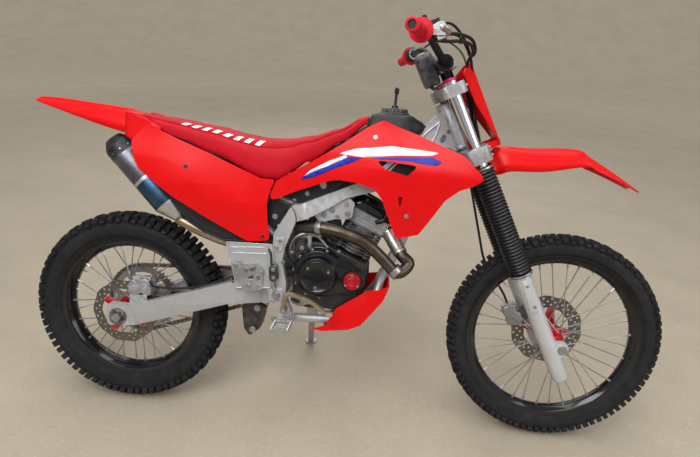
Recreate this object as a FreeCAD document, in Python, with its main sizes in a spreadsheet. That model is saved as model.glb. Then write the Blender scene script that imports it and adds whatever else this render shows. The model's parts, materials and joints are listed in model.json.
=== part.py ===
import FreeCAD, Part
import math
import os
from FreeCAD import Placement, Rotation, Vector

# A dirt bike, parked on its side stand. Millimetres, +X forward, +Y to the rider's left, +Z up.
# Pieces are drawn with the bike upright, the rear axle above the origin, and stood on the floor by a placement.

doc = FreeCAD.newDocument("dirt_bike")
sheet = doc.addObject("Spreadsheet::Sheet", "sizes")

SIZES = {
    "bike": {"wheelbase": 1425, "lean": 11.1, "rear_axle_height": 330, "origin_forward": 721, "origin_left": 238,
             "seat_gap": 0.3, "pin_clearance": 0.05, "overrun": 40},
    "steer": {"rake": 26.5, "axle_lead": 54.6, "leg_spacing": 198, "leg_offset": 21.6},
    "rear": {"tyre_radius": 330, "tyre_width": 112, "bead_radius": 229, "rim_opening": 214, "rim_width": 62,
             "hub_radius": 24, "flange_radius": 42, "flange_spacing": 58, "hub_left": 71.7, "hub_right": 63.7,
             "axle_radius": 10, "spoke_count": 36, "spoke_radius": 2.2, "disc_radius": 110, "disc_y": -66, "lug_count": 32},
    "front": {"tyre_radius": 347, "tyre_width": 90, "bead_radius": 267, "rim_opening": 254, "rim_width": 48,
              "hub_radius": 20, "flange_radius": 32, "flange_spacing": 54, "hub_left": 55.7, "hub_right": 60,
              "axle_radius": 10, "spoke_count": 36, "spoke_radius": 2.0, "disc_radius": 120, "disc_y": 58, "lug_count": 34},
    "wheel": {"flange_height": 9, "flange_wall": 3, "spoke_sweep": 52, "spoke_shift": 6, "flange_thickness": 12,
              "disc_thickness": 4, "disc_band": 30, "disc_arm": 16, "disc_arms": 6, "disc_centre": 34,
              "disc_waves": 10, "disc_wave_depth": 5, "spoke_anchor": 5},
    "sprocket": {"teeth": 48, "pitch": 15.875, "thickness": 6, "chain_y": 75, "front_teeth": 13, "front_x": 590,
                 "front_z": 448, "windows": 8, "window_radius": 15, "window_reach": 84},
    "chain": {"roller": 10.16, "outer_width": 17, "plate_height": 14, "waist_height": 10},
    "axle": {"length": 264, "head_radius": 15, "head_length": 12},
    "front_axle": {"length": 236, "head_radius": 13, "hole_radius": 6},
    "spar": {"x": 485, "z": 345, "length": 560, "height": 723, "upright_outer": 120, "upright_inner": 93,
             "head_outer": 42, "head_inner": 14, "bend_x": 600, "corner": 8},
    "head": {"low": 696, "high": 842, "radius": 33},
    "pivot": {"x": 356, "z": 463, "length": 147, "height": 152, "wall": 4, "corner": 4},
    "cradle": {"x": 572, "z": 362, "length": 460, "height": 616, "tube_radius": 17, "rail_radius": 14,
               "half_width": 70},
    "subframe": {"x": 90, "z": 590, "length": 500, "height": 330, "half_width": 92, "tube_radius": 11,
                 "strut_y": 104},
    "cases": {"x": 556, "z": 395, "length": 242, "height": 235, "right": 82, "left": 58, "corner": 18},
    "clutch": {"x": 648, "z": 528, "radius": 84, "depth": 36, "dome_radius": 56, "dome_depth": 22,
               "filter_x": 756, "filter_z": 516, "filter_boss": 38, "edge": 8},
    "filter": {"radius": 28, "depth": 20, "edge": 2},
    "ignition": {"x": 702, "z": 515, "radius": 66, "depth": 42, "edge": 8},
    "cylinder": {"tilt": 24, "x": 744, "z": 590, "length": 92, "width": 118, "depth": 128, "fins": 9,
                 "core_radius": 52, "fin": 3},
    "cylinder_head": {"length": 46, "width": 126, "depth": 132, "fins": 4, "core_radius": 56},
    "head_cover": {"length": 46, "width": 96, "depth": 150, "top_width": 52, "corner": 12},
    "airbox": {"x": 190, "z": 690, "length": 300, "height": 190, "corner": 20,
               "duct_radius": 26, "duct_x": 700, "duct_z": 752},
    "tank": {"x": 597, "z": 790, "length": 351, "height": 243, "half_width": 108, "corner": 25},
    "cap": {"x": 848, "radius": 42, "height": 18, "tube_radius": 4.5, "tube_height": 62, "stem_radius": 12,
            "stem_height": 12},
    "seat": {"x": 50, "z": 815, "length": 718, "height": 206, "half_width": 104, "corner": 14, "crown": 16},
    "side_panel": {"x": 56, "z": 619, "length": 450, "height": 338, "wall": 4, "reach": 142, "boss_radius": 8,
                   "boss_x": 300, "boss_z": 833},
    "shroud": {"x": 484, "z": 663, "length": 631, "height": 349, "wall": 4, "reach": 196, "boss_radius": 8,
               "boss_x": 800, "boss_z": 950},
    "rear_fender": {"tail": 366, "rise": 34, "lap": 64, "half_width": 92, "drop": 46, "lap_drop": 10, "wall": 5},
    "mud_flap": {"x": 350, "length": 40, "height": 190, "half_width": 48, "wall": 4},
    "guard": {"x": 637, "z": 336, "length": 237, "height": 167, "half_width": 104, "wall": 5, "tab_x": 690,
              "tab_length": 20},
    "header": {"lead": 53.8, "z": 552, "length": 646, "height": 122, "outer_y": 112, "radius": 19, "wall": 2,
               "sleeve_radius": 27, "port_y": 32, "stub": 25},
    "silencer": {"front_x": 158, "front_z": 706, "rear_x": 2, "rear_z": 876, "y": 72, "radius": 46, "cap_length": 34,
                 "cone_length": 55, "outlet_radius": 20, "outlet_wall": 8},
    "swing": {"x": -42, "z": 298, "length": 587, "height": 182, "outer": 117, "inner": 92, "pivot_outer": 84,
              "pivot_inner": 56, "pivot_radius": 12, "pivot_x": 528, "pivot_z": 432, "turn_x": 390,
              "straight_x": 467, "cross_x": 346, "cross_z": 398, "cross_length": 60, "cross_height": 50,
              "corner": 6},
    "shock": {"low_x": 455, "low_z": 350, "high_x": 440, "high_z": 689, "radius": 22, "spring_radius": 38,
              "spring_low_share": 0.34, "spring_high_share": 0.86},
    "link": {"x": 386, "z": 262, "length": 84, "width": 60},
    "rear_caliper": {"x": 20, "z": 396, "length": 82, "height": 62, "width": 51.4, "slot": 12, "mount_z": 345,
                     "mount_length": 60, "mount_wall": 7},
    "front_caliper": {"z": 56, "length": 57, "height": 80, "width": 46, "slot": 12, "wall": 8,
                      "mount_length": 30, "mount_height": 40, "mount_width": 24},
    "peg": {"x": 520, "z": 360, "length": 56, "width": 82, "height": 16, "inner": 128, "mount_length": 36,
            "mount_height": 30},
    "pedal": {"x": 545, "z": 405, "length": 160, "height": 75, "y": 152, "thickness": 12, "bar": 12,
              "shaft_radius": 9, "shaft_x": 550, "shaft_z": 410},
    "gear": {"x": 625, "z": 412, "y": 134, "length": 110, "rise": 26, "radius": 7, "toe": 32},
    "stand": {"pivot_x": 610, "pivot_y": 112, "pivot_z": 338, "foot_x": 577, "foot_y": 389, "radius": 12,
              "eye_radius": 18, "eye_width": 24, "foot_radius": 22, "foot_height": 8, "axis_x": -0.25,
              "axis_y": 0.729, "axis_z": 0.684, "pin_radius": 6, "lug_width": 16, "gusset_length": 30,
              "gusset_width": 18, "gusset_height": 44},
    "clamp": {"low": 642, "high": 688, "top_low": 850, "top_high": 884, "hug": 38, "depth": 58, "stem_radius": 15},
    "fork": {"tube_radius": 21.5, "tube_top": 893, "cap_radius": 25, "cap_height": 10, "gaiter_low": 272,
             "gaiter_high": 630, "gaiter_radius": 35, "gaiter_neck": 29, "gaiter_sides": 20, "ribs": 14, "slider_low": -99,
             "slider_radius": 28, "lug_width": 40, "lug_height": 62, "lug_corner": 6},
    "bar": {"radius": 11, "grip_end": 405, "grip_start": 285, "rise": 1041, "sweep": -50, "middle_x": 34,
            "middle_z": 938, "bend_y": 62, "shoulder_y": 150, "shoulder_z": 1030, "shoulder_x": 8, "bend": 60,
            "pad_radius": 24, "pad_length": 150, "riser_radius": 15, "riser_y": 31},
    "grip": {"radius": 17, "flange_radius": 31, "flange_length": 6},
    "controls": {"housing_radius": 24, "housing_length": 42, "lever_radius": 6, "lever_length": 165,
                 "lever_reach": 58, "lever_drop": 14, "reservoir_length": 46, "reservoir_width": 30,
                 "reservoir_height": 26},
    "front_fender": {"x": 10, "z": 374, "length": 432, "height": 278, "half_width": 66, "drop": 76, "wall": 4},
    "plate": {"x": 70, "z": 662, "length": 36, "height": 262, "half_width": 102, "wall": 4, "tab_x": 54,
              "tab_y": 40, "tab_width": 12, "tab_height": 20},
    "hose": {"radius": 4, "y": 92, "bend": 120},
}

row_number = 0
for piece, values in SIZES.items():
    for name, number in values.items():
        row_number += 1
        alias = piece + "_" + name
        sheet.set("A%d" % row_number, alias)
        sheet.set("B%d" % row_number, str(number))
        sheet.setAlias("B%d" % row_number, alias)
doc.recompute()


class Sizes:
    """Reads a cell of the sheet by its alias."""

    def __getattr__(self, alias):
        return float(sheet.get(alias))


size = Sizes()


class Frame:
    """The side-view box of one piece, whose outline is given in shares of it."""

    def __init__(self, piece, x=None):
        self.x = getattr(size, piece + "_x") if x is None else x
        self.z = getattr(size, piece + "_z")
        self.length = getattr(size, piece + "_length")
        self.height = getattr(size, piece + "_height")

    def side(self, shares):
        return [(self.x + along * self.length, self.z + up * self.height) for along, up in shares]

    def point(self, along, y, up):
        return Vector(self.x + along * self.length, y, self.z + up * self.height)


# Placements of the assemblies

along_z = Vector(0, 0, 1)
along_y = Vector(0, 1, 0)
along_x = Vector(1, 0, 0)
lean = math.radians(size.bike_lean)
rake = math.radians(size.steer_rake)

# Outline of a tyre's lugs, from the shoulder lug's foot over its top to the edge of the middle lug:
# shares of the half width, and of the height from the bead to the lugs' tips
TYRE_SHARES = [(1.0, 0.70), (0.91, 0.91), (0.62, 0.97), (0.34, 1.0)]


def tyre_outline(end):
    """Half of the outline over the lugs as (radius, y) points."""
    return tyre_points(end, TYRE_SHARES)


def tyre_points(end, shares):
    half = getattr(size, end + "_tyre_width") / 2
    bead = getattr(size, end + "_bead_radius")
    rise = getattr(size, end + "_tyre_radius") - bead
    return [(bead + up * rise, across * half) for across, up in shares]


def leaning_height(end):
    """Height of the wheel's centre when the leaning tyre touches the floor."""
    return max(radius * math.cos(lean) + y * math.sin(lean) for radius, y in tyre_outline(end))


lift = leaning_height("rear") - size.bike_rear_axle_height * math.cos(lean)
front_axle_height = (leaning_height("front") - lift) / math.cos(lean)
stand_on_floor = Placement(Vector(-size.bike_origin_forward, -size.bike_origin_left, lift),
                           Rotation(along_x, -size.bike_lean))
forward = Vector(math.cos(rake), 0, math.sin(rake))
upward = Vector(-math.sin(rake), 0, math.cos(rake))
front_axle = Vector(size.bike_wheelbase, 0, front_axle_height)
steer_origin = front_axle - forward * size.steer_axle_lead
fork_frame = Placement(steer_origin, Rotation(along_y, -size.steer_rake))
on_bike = stand_on_floor
on_fork = stand_on_floor.multiply(fork_frame)
rear_centre = Vector(0, 0, size.bike_rear_axle_height)
on_rear_wheel = stand_on_floor.multiply(Placement(rear_centre, Rotation()))
on_front_wheel = on_fork.multiply(Placement(Vector(size.steer_axle_lead, 0, 0), Rotation()))

nodes = []


def keep(label, item, placement):
    """Names a finished sub-part and stands it in its place."""
    item.Label = label
    item.Placement = placement.multiply(item.Placement)
    nodes.append(item)
    return item


# Sketches, extrusions and bars

PLANES = {
    "side": (Rotation(along_x, 90), along_y),
    "plan": (Rotation(), along_z),
    "front": (Rotation(Vector(1, 1, 1), 120), along_x),
}


def rounded(points, radius):
    """Edges of a closed outline with each corner rounded as far as its sides allow."""
    corners = [Vector(u, v, 0) for u, v in points]
    if radius <= 0:
        return [Part.LineSegment(corners[i - 1], corners[i]) for i in range(len(corners))]
    bends = []
    for i, corner in enumerate(corners):
        before = corners[i - 1] - corner
        after = corners[(i + 1) % len(corners)] - corner
        turn = before.getAngle(after)
        reach = min(radius / math.tan(turn / 2), before.Length * 0.45, after.Length * 0.45)
        first = corner + before.normalize() * reach
        last = corner + after.normalize() * reach
        half = (first + last) * 0.5
        real = reach * math.tan(turn / 2)
        inward = (half - corner).normalize()
        centre = corner + inward * (real / math.sin(turn / 2))
        bends.append((first, centre - inward * real, last))
    edges = []
    for i, (first, middle, last) in enumerate(bends):
        edges.append(Part.LineSegment(bends[i - 1][2], first))
        edges.append(Part.Arc(first, middle, last))
    return edges


def outline(name, points, plane, offset, radius=0):
    """A sketch of a closed outline in a side, plan or front plane, moved along the plane's normal."""
    rotation, normal = PLANES[plane]
    sketch = doc.addObject("Sketcher::SketchObject", name)
    sketch.Placement = Placement(normal * offset, rotation)
    sketch.addGeometry(rounded(points, radius), False)
    return sketch


def slab(name, points, plane, start, thickness, radius=0):
    """The outline thickened from start, along the plane's normal; thickness may be an expression."""
    sketch = outline(name + "_outline", points, plane, start, radius)
    solid = doc.addObject("Part::Extrusion", name)
    solid.Base = sketch
    solid.DirMode = "Custom"
    solid.Dir = PLANES[plane][1]
    solid.Solid = True
    if isinstance(thickness, str):
        solid.setExpression("LengthFwd", thickness)
    else:
        solid.LengthFwd = thickness
    return solid


def rod(name, start, end, radius):
    """A round bar from one point to another; radius is an expression."""
    bar = doc.addObject("Part::Cylinder", name)
    bar.setExpression("Radius", radius)
    bar.Height = (end - start).Length
    bar.Placement = Placement(start, Rotation(along_z, end - start))
    return bar


def prism(name, start, end, radius, sides=6):
    """A bar with flat sides."""
    bar = doc.addObject("Part::Prism", name)
    bar.Polygon = sides
    bar.setExpression("Circumradius", radius)
    bar.Height = (end - start).Length
    bar.Placement = Placement(start, Rotation(along_z, end - start))
    return bar


def cone(name, start, end, first_radius, last_radius):
    """A tapered round bar; the radii are expressions."""
    taper = doc.addObject("Part::Cone", name)
    taper.setExpression("Radius1", first_radius)
    taper.setExpression("Radius2", last_radius)
    taper.Height = (end - start).Length
    taper.Placement = Placement(start, Rotation(along_z, end - start))
    return taper


def box(name, corner, length, width, height):
    """A block from its low corner; the sizes may be numbers or expressions."""
    block = doc.addObject("Part::Box", name)
    for prop, value in (("Length", length), ("Width", width), ("Height", height)):
        if isinstance(value, str):
            block.setExpression(prop, value)
        else:
            setattr(block, prop, value)
    block.Placement = Placement(corner, Rotation())
    return block


def fuse(name, items):
    joined = doc.addObject("Part::MultiFuse", name)
    joined.Shapes = items
    joined.Refine = True
    return joined


def cut(name, base, tool):
    result = doc.addObject("Part::Cut", name)
    result.Base = base
    result.Tool = tool
    return result


def common(name, first, second):
    result = doc.addObject("Part::Common", name)
    result.Base = first
    result.Tool = second
    return result


def group(name, items):
    """Separate solids that share a node."""
    together = doc.addObject("Part::Compound", name)
    together.Links = items
    return together


def mirrored(name, item):
    other = doc.addObject("Part::Mirroring", name)
    other.Source = item
    other.Normal = along_y
    other.Base = Vector(0, 0, 0)
    return other


def pair(name, item):
    """The item and its mirror image on the other side of the bike."""
    return group(name, [item, mirrored(name + "_other", item)])


def bent_tube(name, points, bend, radius, keep_ends=True):
    """A round tube along straight runs joined by tangent arcs."""
    edges = []
    start = points[0]
    for i in range(1, len(points) - 1):
        corner = points[i]
        before = points[i - 1] - corner
        after = points[i + 1] - corner
        turn = before.getAngle(after)
        reach = min(bend / math.tan(turn / 2), before.Length * 0.45, after.Length * 0.45)
        first = corner + before.normalize() * reach
        last = corner + after.normalize() * reach
        real = reach * math.tan(turn / 2)
        inward = ((first + last) * 0.5 - corner).normalize()
        middle = corner + inward * (real / math.sin(turn / 2) - real)
        edges.append(Part.LineSegment(start, first).toShape())
        edges.append(Part.Arc(first, middle, last).toShape())
        start = last
    edges.append(Part.LineSegment(start, points[-1]).toShape())
    path = doc.addObject("Part::Feature", name + "_path")
    path.Shape = Part.Wire(edges)
    ring = doc.addObject("Part::Circle", name + "_ring")
    ring.setExpression("Radius", radius)
    ring.Placement = Placement(points[0], Rotation(along_z, points[1] - points[0]))
    tube = doc.addObject("Part::Sweep", name)
    tube.Sections = [ring]
    tube.Spine = (path, [])
    tube.Solid = True
    tube.Frenet = False
    return tube


def role(body, name):
    """One of a body's own origin planes or axes."""
    return [item for item in body.Origin.OriginFeatures if item.Role == name][0]


def turned(name, points):
    """A body of revolution about the Y axis, from (radius, y) points."""
    body = doc.addObject("PartDesign::Body", name)
    sketch = body.newObject("Sketcher::SketchObject", name + "_section")
    sketch.AttachmentSupport = [(role(body, "XY_Plane"), "")]
    sketch.MapMode = "FlatFace"
    corners = [Vector(radius, y, 0) for radius, y in points]
    sketch.addGeometry([Part.LineSegment(corners[i - 1], corners[i]) for i in range(len(corners))], False)
    turn = body.newObject("PartDesign::Revolution", name + "_turn")
    turn.Profile = sketch
    turn.ReferenceAxis = (role(body, "Y_Axis"), [""])
    turn.Angle = 360
    sketch.Visibility = False
    return body


# Solids of flat facets

def shell(name, faces):
    """A solid from flat faces, given as lists of corners that meet edge to edge."""
    joined = Part.Compound([Part.Face(Part.makePolygon(corners + corners[:1])) for corners in faces])
    joined.sewShape()
    solid = Part.Solid(joined.Shells[0])
    if solid.Volume < 0:
        solid.reverse()
    item = doc.addObject("Part::Feature", name)
    item.Shape = solid
    return item


def lofted(name, sections):
    """A solid through closed flat sections: the outer line of each, then its inner line back."""
    faces = [sections[0], sections[-1]]
    for before, after in zip(sections, sections[1:]):
        for k in range(len(before)):
            corners = [before[k - 1], before[k], after[k], after[k - 1]]
            if 2 * k < len(before):
                faces.extend([corners[:3], corners[2:] + corners[:1]])
            else:
                faces.extend([corners[:2] + corners[3:], corners[1:]])
    return shell(name, faces)


def spot(point, angle):
    """The place of a (radius, y) point, turned about the Y axis."""
    radius, y = point
    return Vector(radius * math.cos(angle), y, radius * math.sin(angle))


def faceted(name, points, sides):
    """A ring about the Y axis with flat sides, from closed (radius, y) points."""
    faces = []
    for i in range(sides):
        first, last = (2 * math.pi * step / sides for step in (i, i + 1))
        for k in range(len(points)):
            faces.append([spot(points[k - 1], first), spot(points[k - 1], last),
                          spot(points[k], last), spot(points[k], first)])
    return shell(name, faces)


# Wheels

RIM_SHARES = [(0.62, 0.0), (1.0, 0.85)]


def rim_outline(end):
    """The rim's section as (radius, y) points: a shallow channel with two flanges."""
    bead = getattr(size, end + "_bead_radius")
    opening = getattr(size, end + "_rim_opening")
    half = getattr(size, end + "_rim_width") / 2
    inner = [(opening + up * (bead - opening), across * half) for across, up in RIM_SHARES]
    lip = half - size.wheel_flange_wall
    outer = [(bead + size.wheel_flange_height, half), (bead + size.wheel_flange_height, lip), (bead, lip)]
    left = inner + outer
    return left + [(radius, -y) for radius, y in reversed(left)]


def hub_outline(end):
    """The hub's section: a barrel with two spoke flanges and a bore for the axle."""
    bore = getattr(size, end + "_axle_radius") + size.bike_pin_clearance
    barrel = getattr(size, end + "_hub_radius")
    flange = getattr(size, end + "_flange_radius")
    middle = getattr(size, end + "_flange_spacing") / 2
    wall = size.wheel_flange_thickness / 2
    steps = [(barrel, middle - wall), (flange, middle - wall), (flange, middle + wall), (barrel, middle + wall)]
    left = steps + [(barrel, getattr(size, end + "_hub_left")), (bore, getattr(size, end + "_hub_left"))]
    right = steps + [(barrel, getattr(size, end + "_hub_right")), (bore, getattr(size, end + "_hub_right"))]
    return left + [(radius, -y) for radius, y in reversed(right)]


WAVE_SHARES = [0.0, 0.0, 0.35, 1.0, 1.0, 0.35]


def spokes(end):
    """Crossed spokes from the hub's flanges to the rim, trimmed where they enter them."""
    count = int(getattr(size, end + "_spoke_count"))
    flange = getattr(size, end + "_flange_radius") - size.wheel_spoke_anchor
    outer = getattr(size, end + "_rim_opening") + size.wheel_spoke_anchor
    middle = getattr(size, end + "_flange_spacing") / 2
    shift = size.wheel_spoke_shift / 2
    bars = []
    for i in range(count):
        side = 1 if i % 2 else -1
        way = 1 if (i // 2) % 2 else -1
        angle = 2 * math.pi * i / count
        hub_angle = angle - math.radians(size.wheel_spoke_sweep) * way
        y = side * (middle + way * shift)
        y_rim = side * (size.wheel_spoke_shift + way * shift)
        start = Vector(flange * math.cos(hub_angle), y, flange * math.sin(hub_angle))
        finish = Vector(outer * math.cos(angle), y_rim, outer * math.sin(angle))
        bars.append(prism("%s_spoke_%d" % (end, i), start, finish, "sizes.%s_spoke_radius" % end, 4))
    bundle = group(end + "_spoke_bundle", bars)
    trim = group(end + "_spoke_trim", [turned(end + "_rim_tool", rim_outline(end)),
                                       turned(end + "_hub_tool", hub_outline(end))])
    return cut(end + "_spokes_trimmed", bundle, trim)


def wave_outline(radius):
    """The outer edge of a disc, waved in and out."""
    steps = int(size.wheel_disc_waves) * len(WAVE_SHARES)
    points = []
    for i in range(steps):
        reach = radius - size.wheel_disc_wave_depth * WAVE_SHARES[i % len(WAVE_SHARES)]
        angle = 2 * math.pi * i / steps
        points.append((reach * math.cos(angle), reach * math.sin(angle)))
    return points


def disc(end):
    """Brake disc: a waved ring on arms from its centre, beside the hub."""
    y = getattr(size, end + "_disc_y") - size.wheel_disc_thickness / 2
    low = Vector(0, y, 0)
    high = low + along_y * size.wheel_disc_thickness
    ring = cut(end + "_disc_ring", slab(end + "_disc_outside", wave_outline(getattr(size, end + "_disc_radius")),
                                        "side", y, "sizes.wheel_disc_thickness"),
               rod(end + "_disc_window", low - along_y, high + along_y,
                   "sizes.%s_disc_radius - sizes.wheel_disc_band" % end))
    items = [ring, rod(end + "_disc_middle", low, high, "sizes.wheel_disc_centre")]
    reach = getattr(size, end + "_disc_radius") - size.wheel_disc_band / 2
    for i in range(int(size.wheel_disc_arms)):
        arm = box("%s_disc_arm_%d" % (end, i), Vector(0, 0, 0), reach, "sizes.wheel_disc_thickness",
                  "sizes.wheel_disc_arm")
        spin = Rotation(along_y, 360 * i / size.wheel_disc_arms)
        arm.Placement = Placement(low, spin).multiply(Placement(Vector(0, 0, -size.wheel_disc_arm / 2), Rotation()))
        items.append(arm)
    solid = fuse(end + "_disc_solid", items)
    return cut(end + "_disc_bored", solid, rod(end + "_disc_bore", low - along_y, high + along_y,
                                               "sizes.%s_axle_radius + sizes.bike_pin_clearance" % end))


CARCASS_SHARES = [(0.91, 0.66), (0.60, 0.82), (0.34, 0.845)]
WALL_SHARES = [(0.80, 0.28)]


def tyre(end, start):
    """A knobby tyre of flat facets: lugs on both shoulders, and middle lugs between each two pairs of them."""
    count = int(getattr(size, end + "_lug_count"))
    bead = getattr(size, end + "_bead_radius")
    seat_y = getattr(size, end + "_rim_width") / 2 - size.wheel_flange_wall
    clear = 1 / math.cos(math.pi / count)
    step = math.pi / count
    lug_foot, lug_edge, lug_top, middle_top = tyre_outline(end)
    foot, base, middle = tyre_points(end, CARCASS_SHARES)
    wall = tyre_points(end, WALL_SHARES)[0]
    inner = (bead * clear, seat_y)
    outer = ((bead + size.wheel_flange_height) * clear, seat_y)
    other = {point: (point[0], -point[1]) for point in (inner, middle, middle_top)}
    faces = []

    def across(points, first, last):
        for before, after in zip(points, points[1:]):
            faces.append([spot(before, first), spot(before, last), spot(after, last), spot(after, first)])

    for i in range(count):
        first, half, last = (start + step * (2 * i + part) for part in (0, 1, 2))
        across([inner, other[inner]], first, last)
        across([middle, other[middle]], first, half)
        across([middle, middle_top, other[middle_top], other[middle]], half, last)
        for angle in (half, last):
            faces.append([spot(point, angle) for point in (middle, middle_top, other[middle_top], other[middle])])
        for side in (1, -1):
            place = [(radius, side * y) for radius, y in (inner, outer, wall, foot, lug_foot, lug_edge, lug_top,
                                                           base, middle)]
            low, high = spot(place[2], first), spot(place[2], last)
            edge = [spot(place[3], angle) for angle in (first, half, last)]
            across(place[:3], first, last)
            faces.extend([[low, edge[0], edge[1]], [low, edge[1], high], [high, edge[1], edge[2]]])
            across(place[3:8], first, half)
            across([place[3], place[7]], half, last)
            across(place[7:], first, half)
            across(place[7:], half, last)
            for angle in (first, half):
                faces.append([spot(point, angle) for point in place[3:8]])
    return shell(end + "_tyre_body", faces)


def wheel(end, placement, down):
    keep(end + "_tyre", tyre(end, down), placement)
    keep(end + "_rim", turned(end + "_rim_body", rim_outline(end)), placement)
    keep(end + "_hub", turned(end + "_hub_body", hub_outline(end)), placement)
    keep(end + "_spokes", spokes(end), placement)
    keep(end + "_disc", disc(end), placement)


wheel("rear", on_rear_wheel, math.radians(-90))
wheel("front", on_front_wheel, math.radians(-90) - rake)


# Chain drive

pitch_radius = size.sprocket_pitch / (2 * math.sin(math.pi / size.sprocket_teeth))
front_pitch_radius = size.sprocket_pitch / (2 * math.sin(math.pi / size.sprocket_front_teeth))
front_centre = Vector(size.sprocket_front_x, 0, size.sprocket_front_z)


def rear_sprocket():
    """The sprocket's disc, inside the chain's rollers, with round windows."""
    low = Vector(0, size.sprocket_chain_y - size.sprocket_thickness / 2, 0)
    high = low + along_y * size.sprocket_thickness
    body = rod("sprocket_disc", low, high, "sizes.sprocket_pitch / 2 / sin(180deg / sizes.sprocket_teeth)"
                                           " - sizes.chain_roller / 2 - sizes.bike_seat_gap")
    cuts = [rod("sprocket_bore", low - along_y, high + along_y,
                "sizes.rear_axle_radius + sizes.bike_pin_clearance")]
    for i in range(int(size.sprocket_windows)):
        across = spot((size.sprocket_window_reach, 0), 2 * math.pi * i / size.sprocket_windows)
        cuts.append(prism("sprocket_window_%d" % i, low - along_y + across, high + along_y + across,
                          "sizes.sprocket_window_radius"))
    return cut("sprocket_bored", body, group("sprocket_cuts", cuts))


def loop_turns():
    """Where the chain's line leaves and meets the two sprockets: angles on both of the upper and the lower run."""
    centre = front_centre - rear_centre
    slope = math.atan2(centre.z, centre.x)
    spread = math.acos((pitch_radius - front_pitch_radius) / centre.Length)
    return slope + spread, slope - spread


def loop_edge(shift):
    """The closed line round both sprockets, shift inside the pitch line."""
    upper, lower = loop_turns()
    middle = (upper + lower) / 2
    edges = []
    for centre, radius, turns in ((front_centre, front_pitch_radius, (upper, middle, lower)),
                                  (rear_centre, pitch_radius, (lower, middle + math.pi, upper + 2 * math.pi))):
        edges.append(Part.Arc(*[centre + spot((radius - shift, 0), angle) for angle in turns]).toShape())
    ends = [edge.Vertexes[index].Point for edge in edges for index in (0, -1)]
    first, second, third, fourth = [Vector(*point) for point in ends]
    runs = [Part.LineSegment(second, third).toShape(), Part.LineSegment(fourth, first).toShape()]
    return Part.Wire([edges[0], runs[0], edges[1], runs[1]])


def link_edge():
    """The chain's outer edge: full height at each pin and waisted between them."""
    upper, lower = loop_turns()
    centre = front_centre - rear_centre
    run = centre.Length * math.sin(upper - math.atan2(centre.z, centre.x))
    stages = [run, front_pitch_radius * (upper - lower), run, pitch_radius * (2 * math.pi - upper + lower)]
    count = 2 * round(sum(stages) / size.sprocket_pitch)
    points = []
    for i in range(count):
        left = sum(stages) * i / count
        stage = 0
        while left > stages[stage]:
            left -= stages[stage]
            stage += 1
        height = (size.chain_waist_height if i % 2 else size.chain_plate_height) / 2
        share = left / stages[stage]
        angle = [upper, upper - share * (upper - lower), lower,
                 lower - share * (2 * math.pi - upper + lower)][stage]
        rear = rear_centre + spot((pitch_radius + height, 0), angle)
        front = front_centre + spot((front_pitch_radius + height, 0), angle)
        points.append([rear + (front - rear) * share, front, front + (rear - front) * share, rear][stage])
    return points


def drive_chain():
    """The chain as one band of links, and the front sprocket inside it."""
    points = link_edge()
    links = Part.Face(Part.makePolygon(points + points[:1])).cut(Part.Face(loop_edge(size.chain_roller / 2)))
    links.translate(along_y * (size.sprocket_chain_y - size.chain_outer_width / 2))
    chain = doc.addObject("Part::Feature", "chain_loop")
    chain.Shape = links.extrude(along_y * size.chain_outer_width)
    low = front_centre + along_y * (size.sprocket_chain_y - size.sprocket_thickness / 2)
    small = doc.addObject("Part::Cylinder", "front_sprocket_disc")
    small.setExpression("Radius", "sizes.sprocket_pitch / 2 / sin(180deg / sizes.sprocket_front_teeth)"
                                  " - sizes.chain_roller / 2 - sizes.bike_seat_gap")
    small.setExpression("Height", "sizes.sprocket_thickness")
    small.Placement = Placement(low, Rotation(along_z, along_y))
    return group("chain_and_sprocket", [chain, small])


keep("rear_sprocket", rear_sprocket(), on_rear_wheel)
keep("drive_chain", drive_chain(), on_bike)


# Where the side stand turns

stand_pivot = Vector(size.stand_pivot_x, size.stand_pivot_y, size.stand_pivot_z)
stand_axis = Vector(size.stand_axis_x, size.stand_axis_y, size.stand_axis_z).normalize()


# Frame

def axis_point(height, lead=0, y=0):
    """A point in the fork's frame, seen from the bike: height along the steering axis, lead in front of it."""
    return steer_origin + upward * height + forward * lead + along_y * y


SPAR_SHARES = [(0.127, 0.544), (0.186, 0.556), (0.493, 0.663), (0.75, 0.844), (0.902, 0.975), (1.0, 0.816),
               (0.811, 0.739), (0.67, 0.646), (0.427, 0.591), (0.25, 0.508), (0.155, 0.477), (0.1, 0.362),
               (0.0875, 0.3), (0.116, 0.202), (0.113, 0.145), (0.155, 0.065), (0.155, 0.0), (0.0911, 0.0),
               (0.0661, 0.0871), (0.00714, 0.172), (0.0, 0.241), (0.0304, 0.304), (0.0357, 0.419)]


def frame_spars():
    """Twin spars from the pivot plates to the steering head, bent inwards in plan."""
    spar = Frame("spar")
    side = slab("spar_side", spar.side(SPAR_SHARES), "side", -size.spar_upright_outer, size.spar_upright_outer,
                size.spar_corner)
    tail = spar.x - size.bike_overrun
    nose = spar.x + spar.length
    band = [(tail, -size.spar_upright_outer), (size.spar_bend_x, -size.spar_upright_outer),
            (nose, -size.spar_head_outer), (nose, -size.spar_head_inner),
            (size.spar_bend_x, -size.spar_upright_inner), (tail, -size.spar_upright_inner)]
    plan = slab("spar_plan", band, "plan", spar.z - size.bike_overrun, spar.height + 2 * size.bike_overrun)
    right = common("spar_right", side, plan)
    left = mirrored("spar_left", right)
    low = axis_point(size.head_low)
    high = axis_point(size.head_high)
    head = rod("head_tube", low, high, "sizes.head_radius")
    joined = fuse("spars_and_head", [right, left, head])
    return cut("spars_bored", joined, rod("head_bore", low - upward * size.bike_overrun,
                                          high + upward * size.bike_overrun,
                                          "sizes.clamp_stem_radius + sizes.bike_pin_clearance"))


PIVOT_SHARES = [(0.0, 0.98), (1.0, 1.0), (1.06, 0.66), (1.0, 0.0592), (0.204, 0.0), (0.19, 0.507), (0.068, 0.612)]


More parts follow.
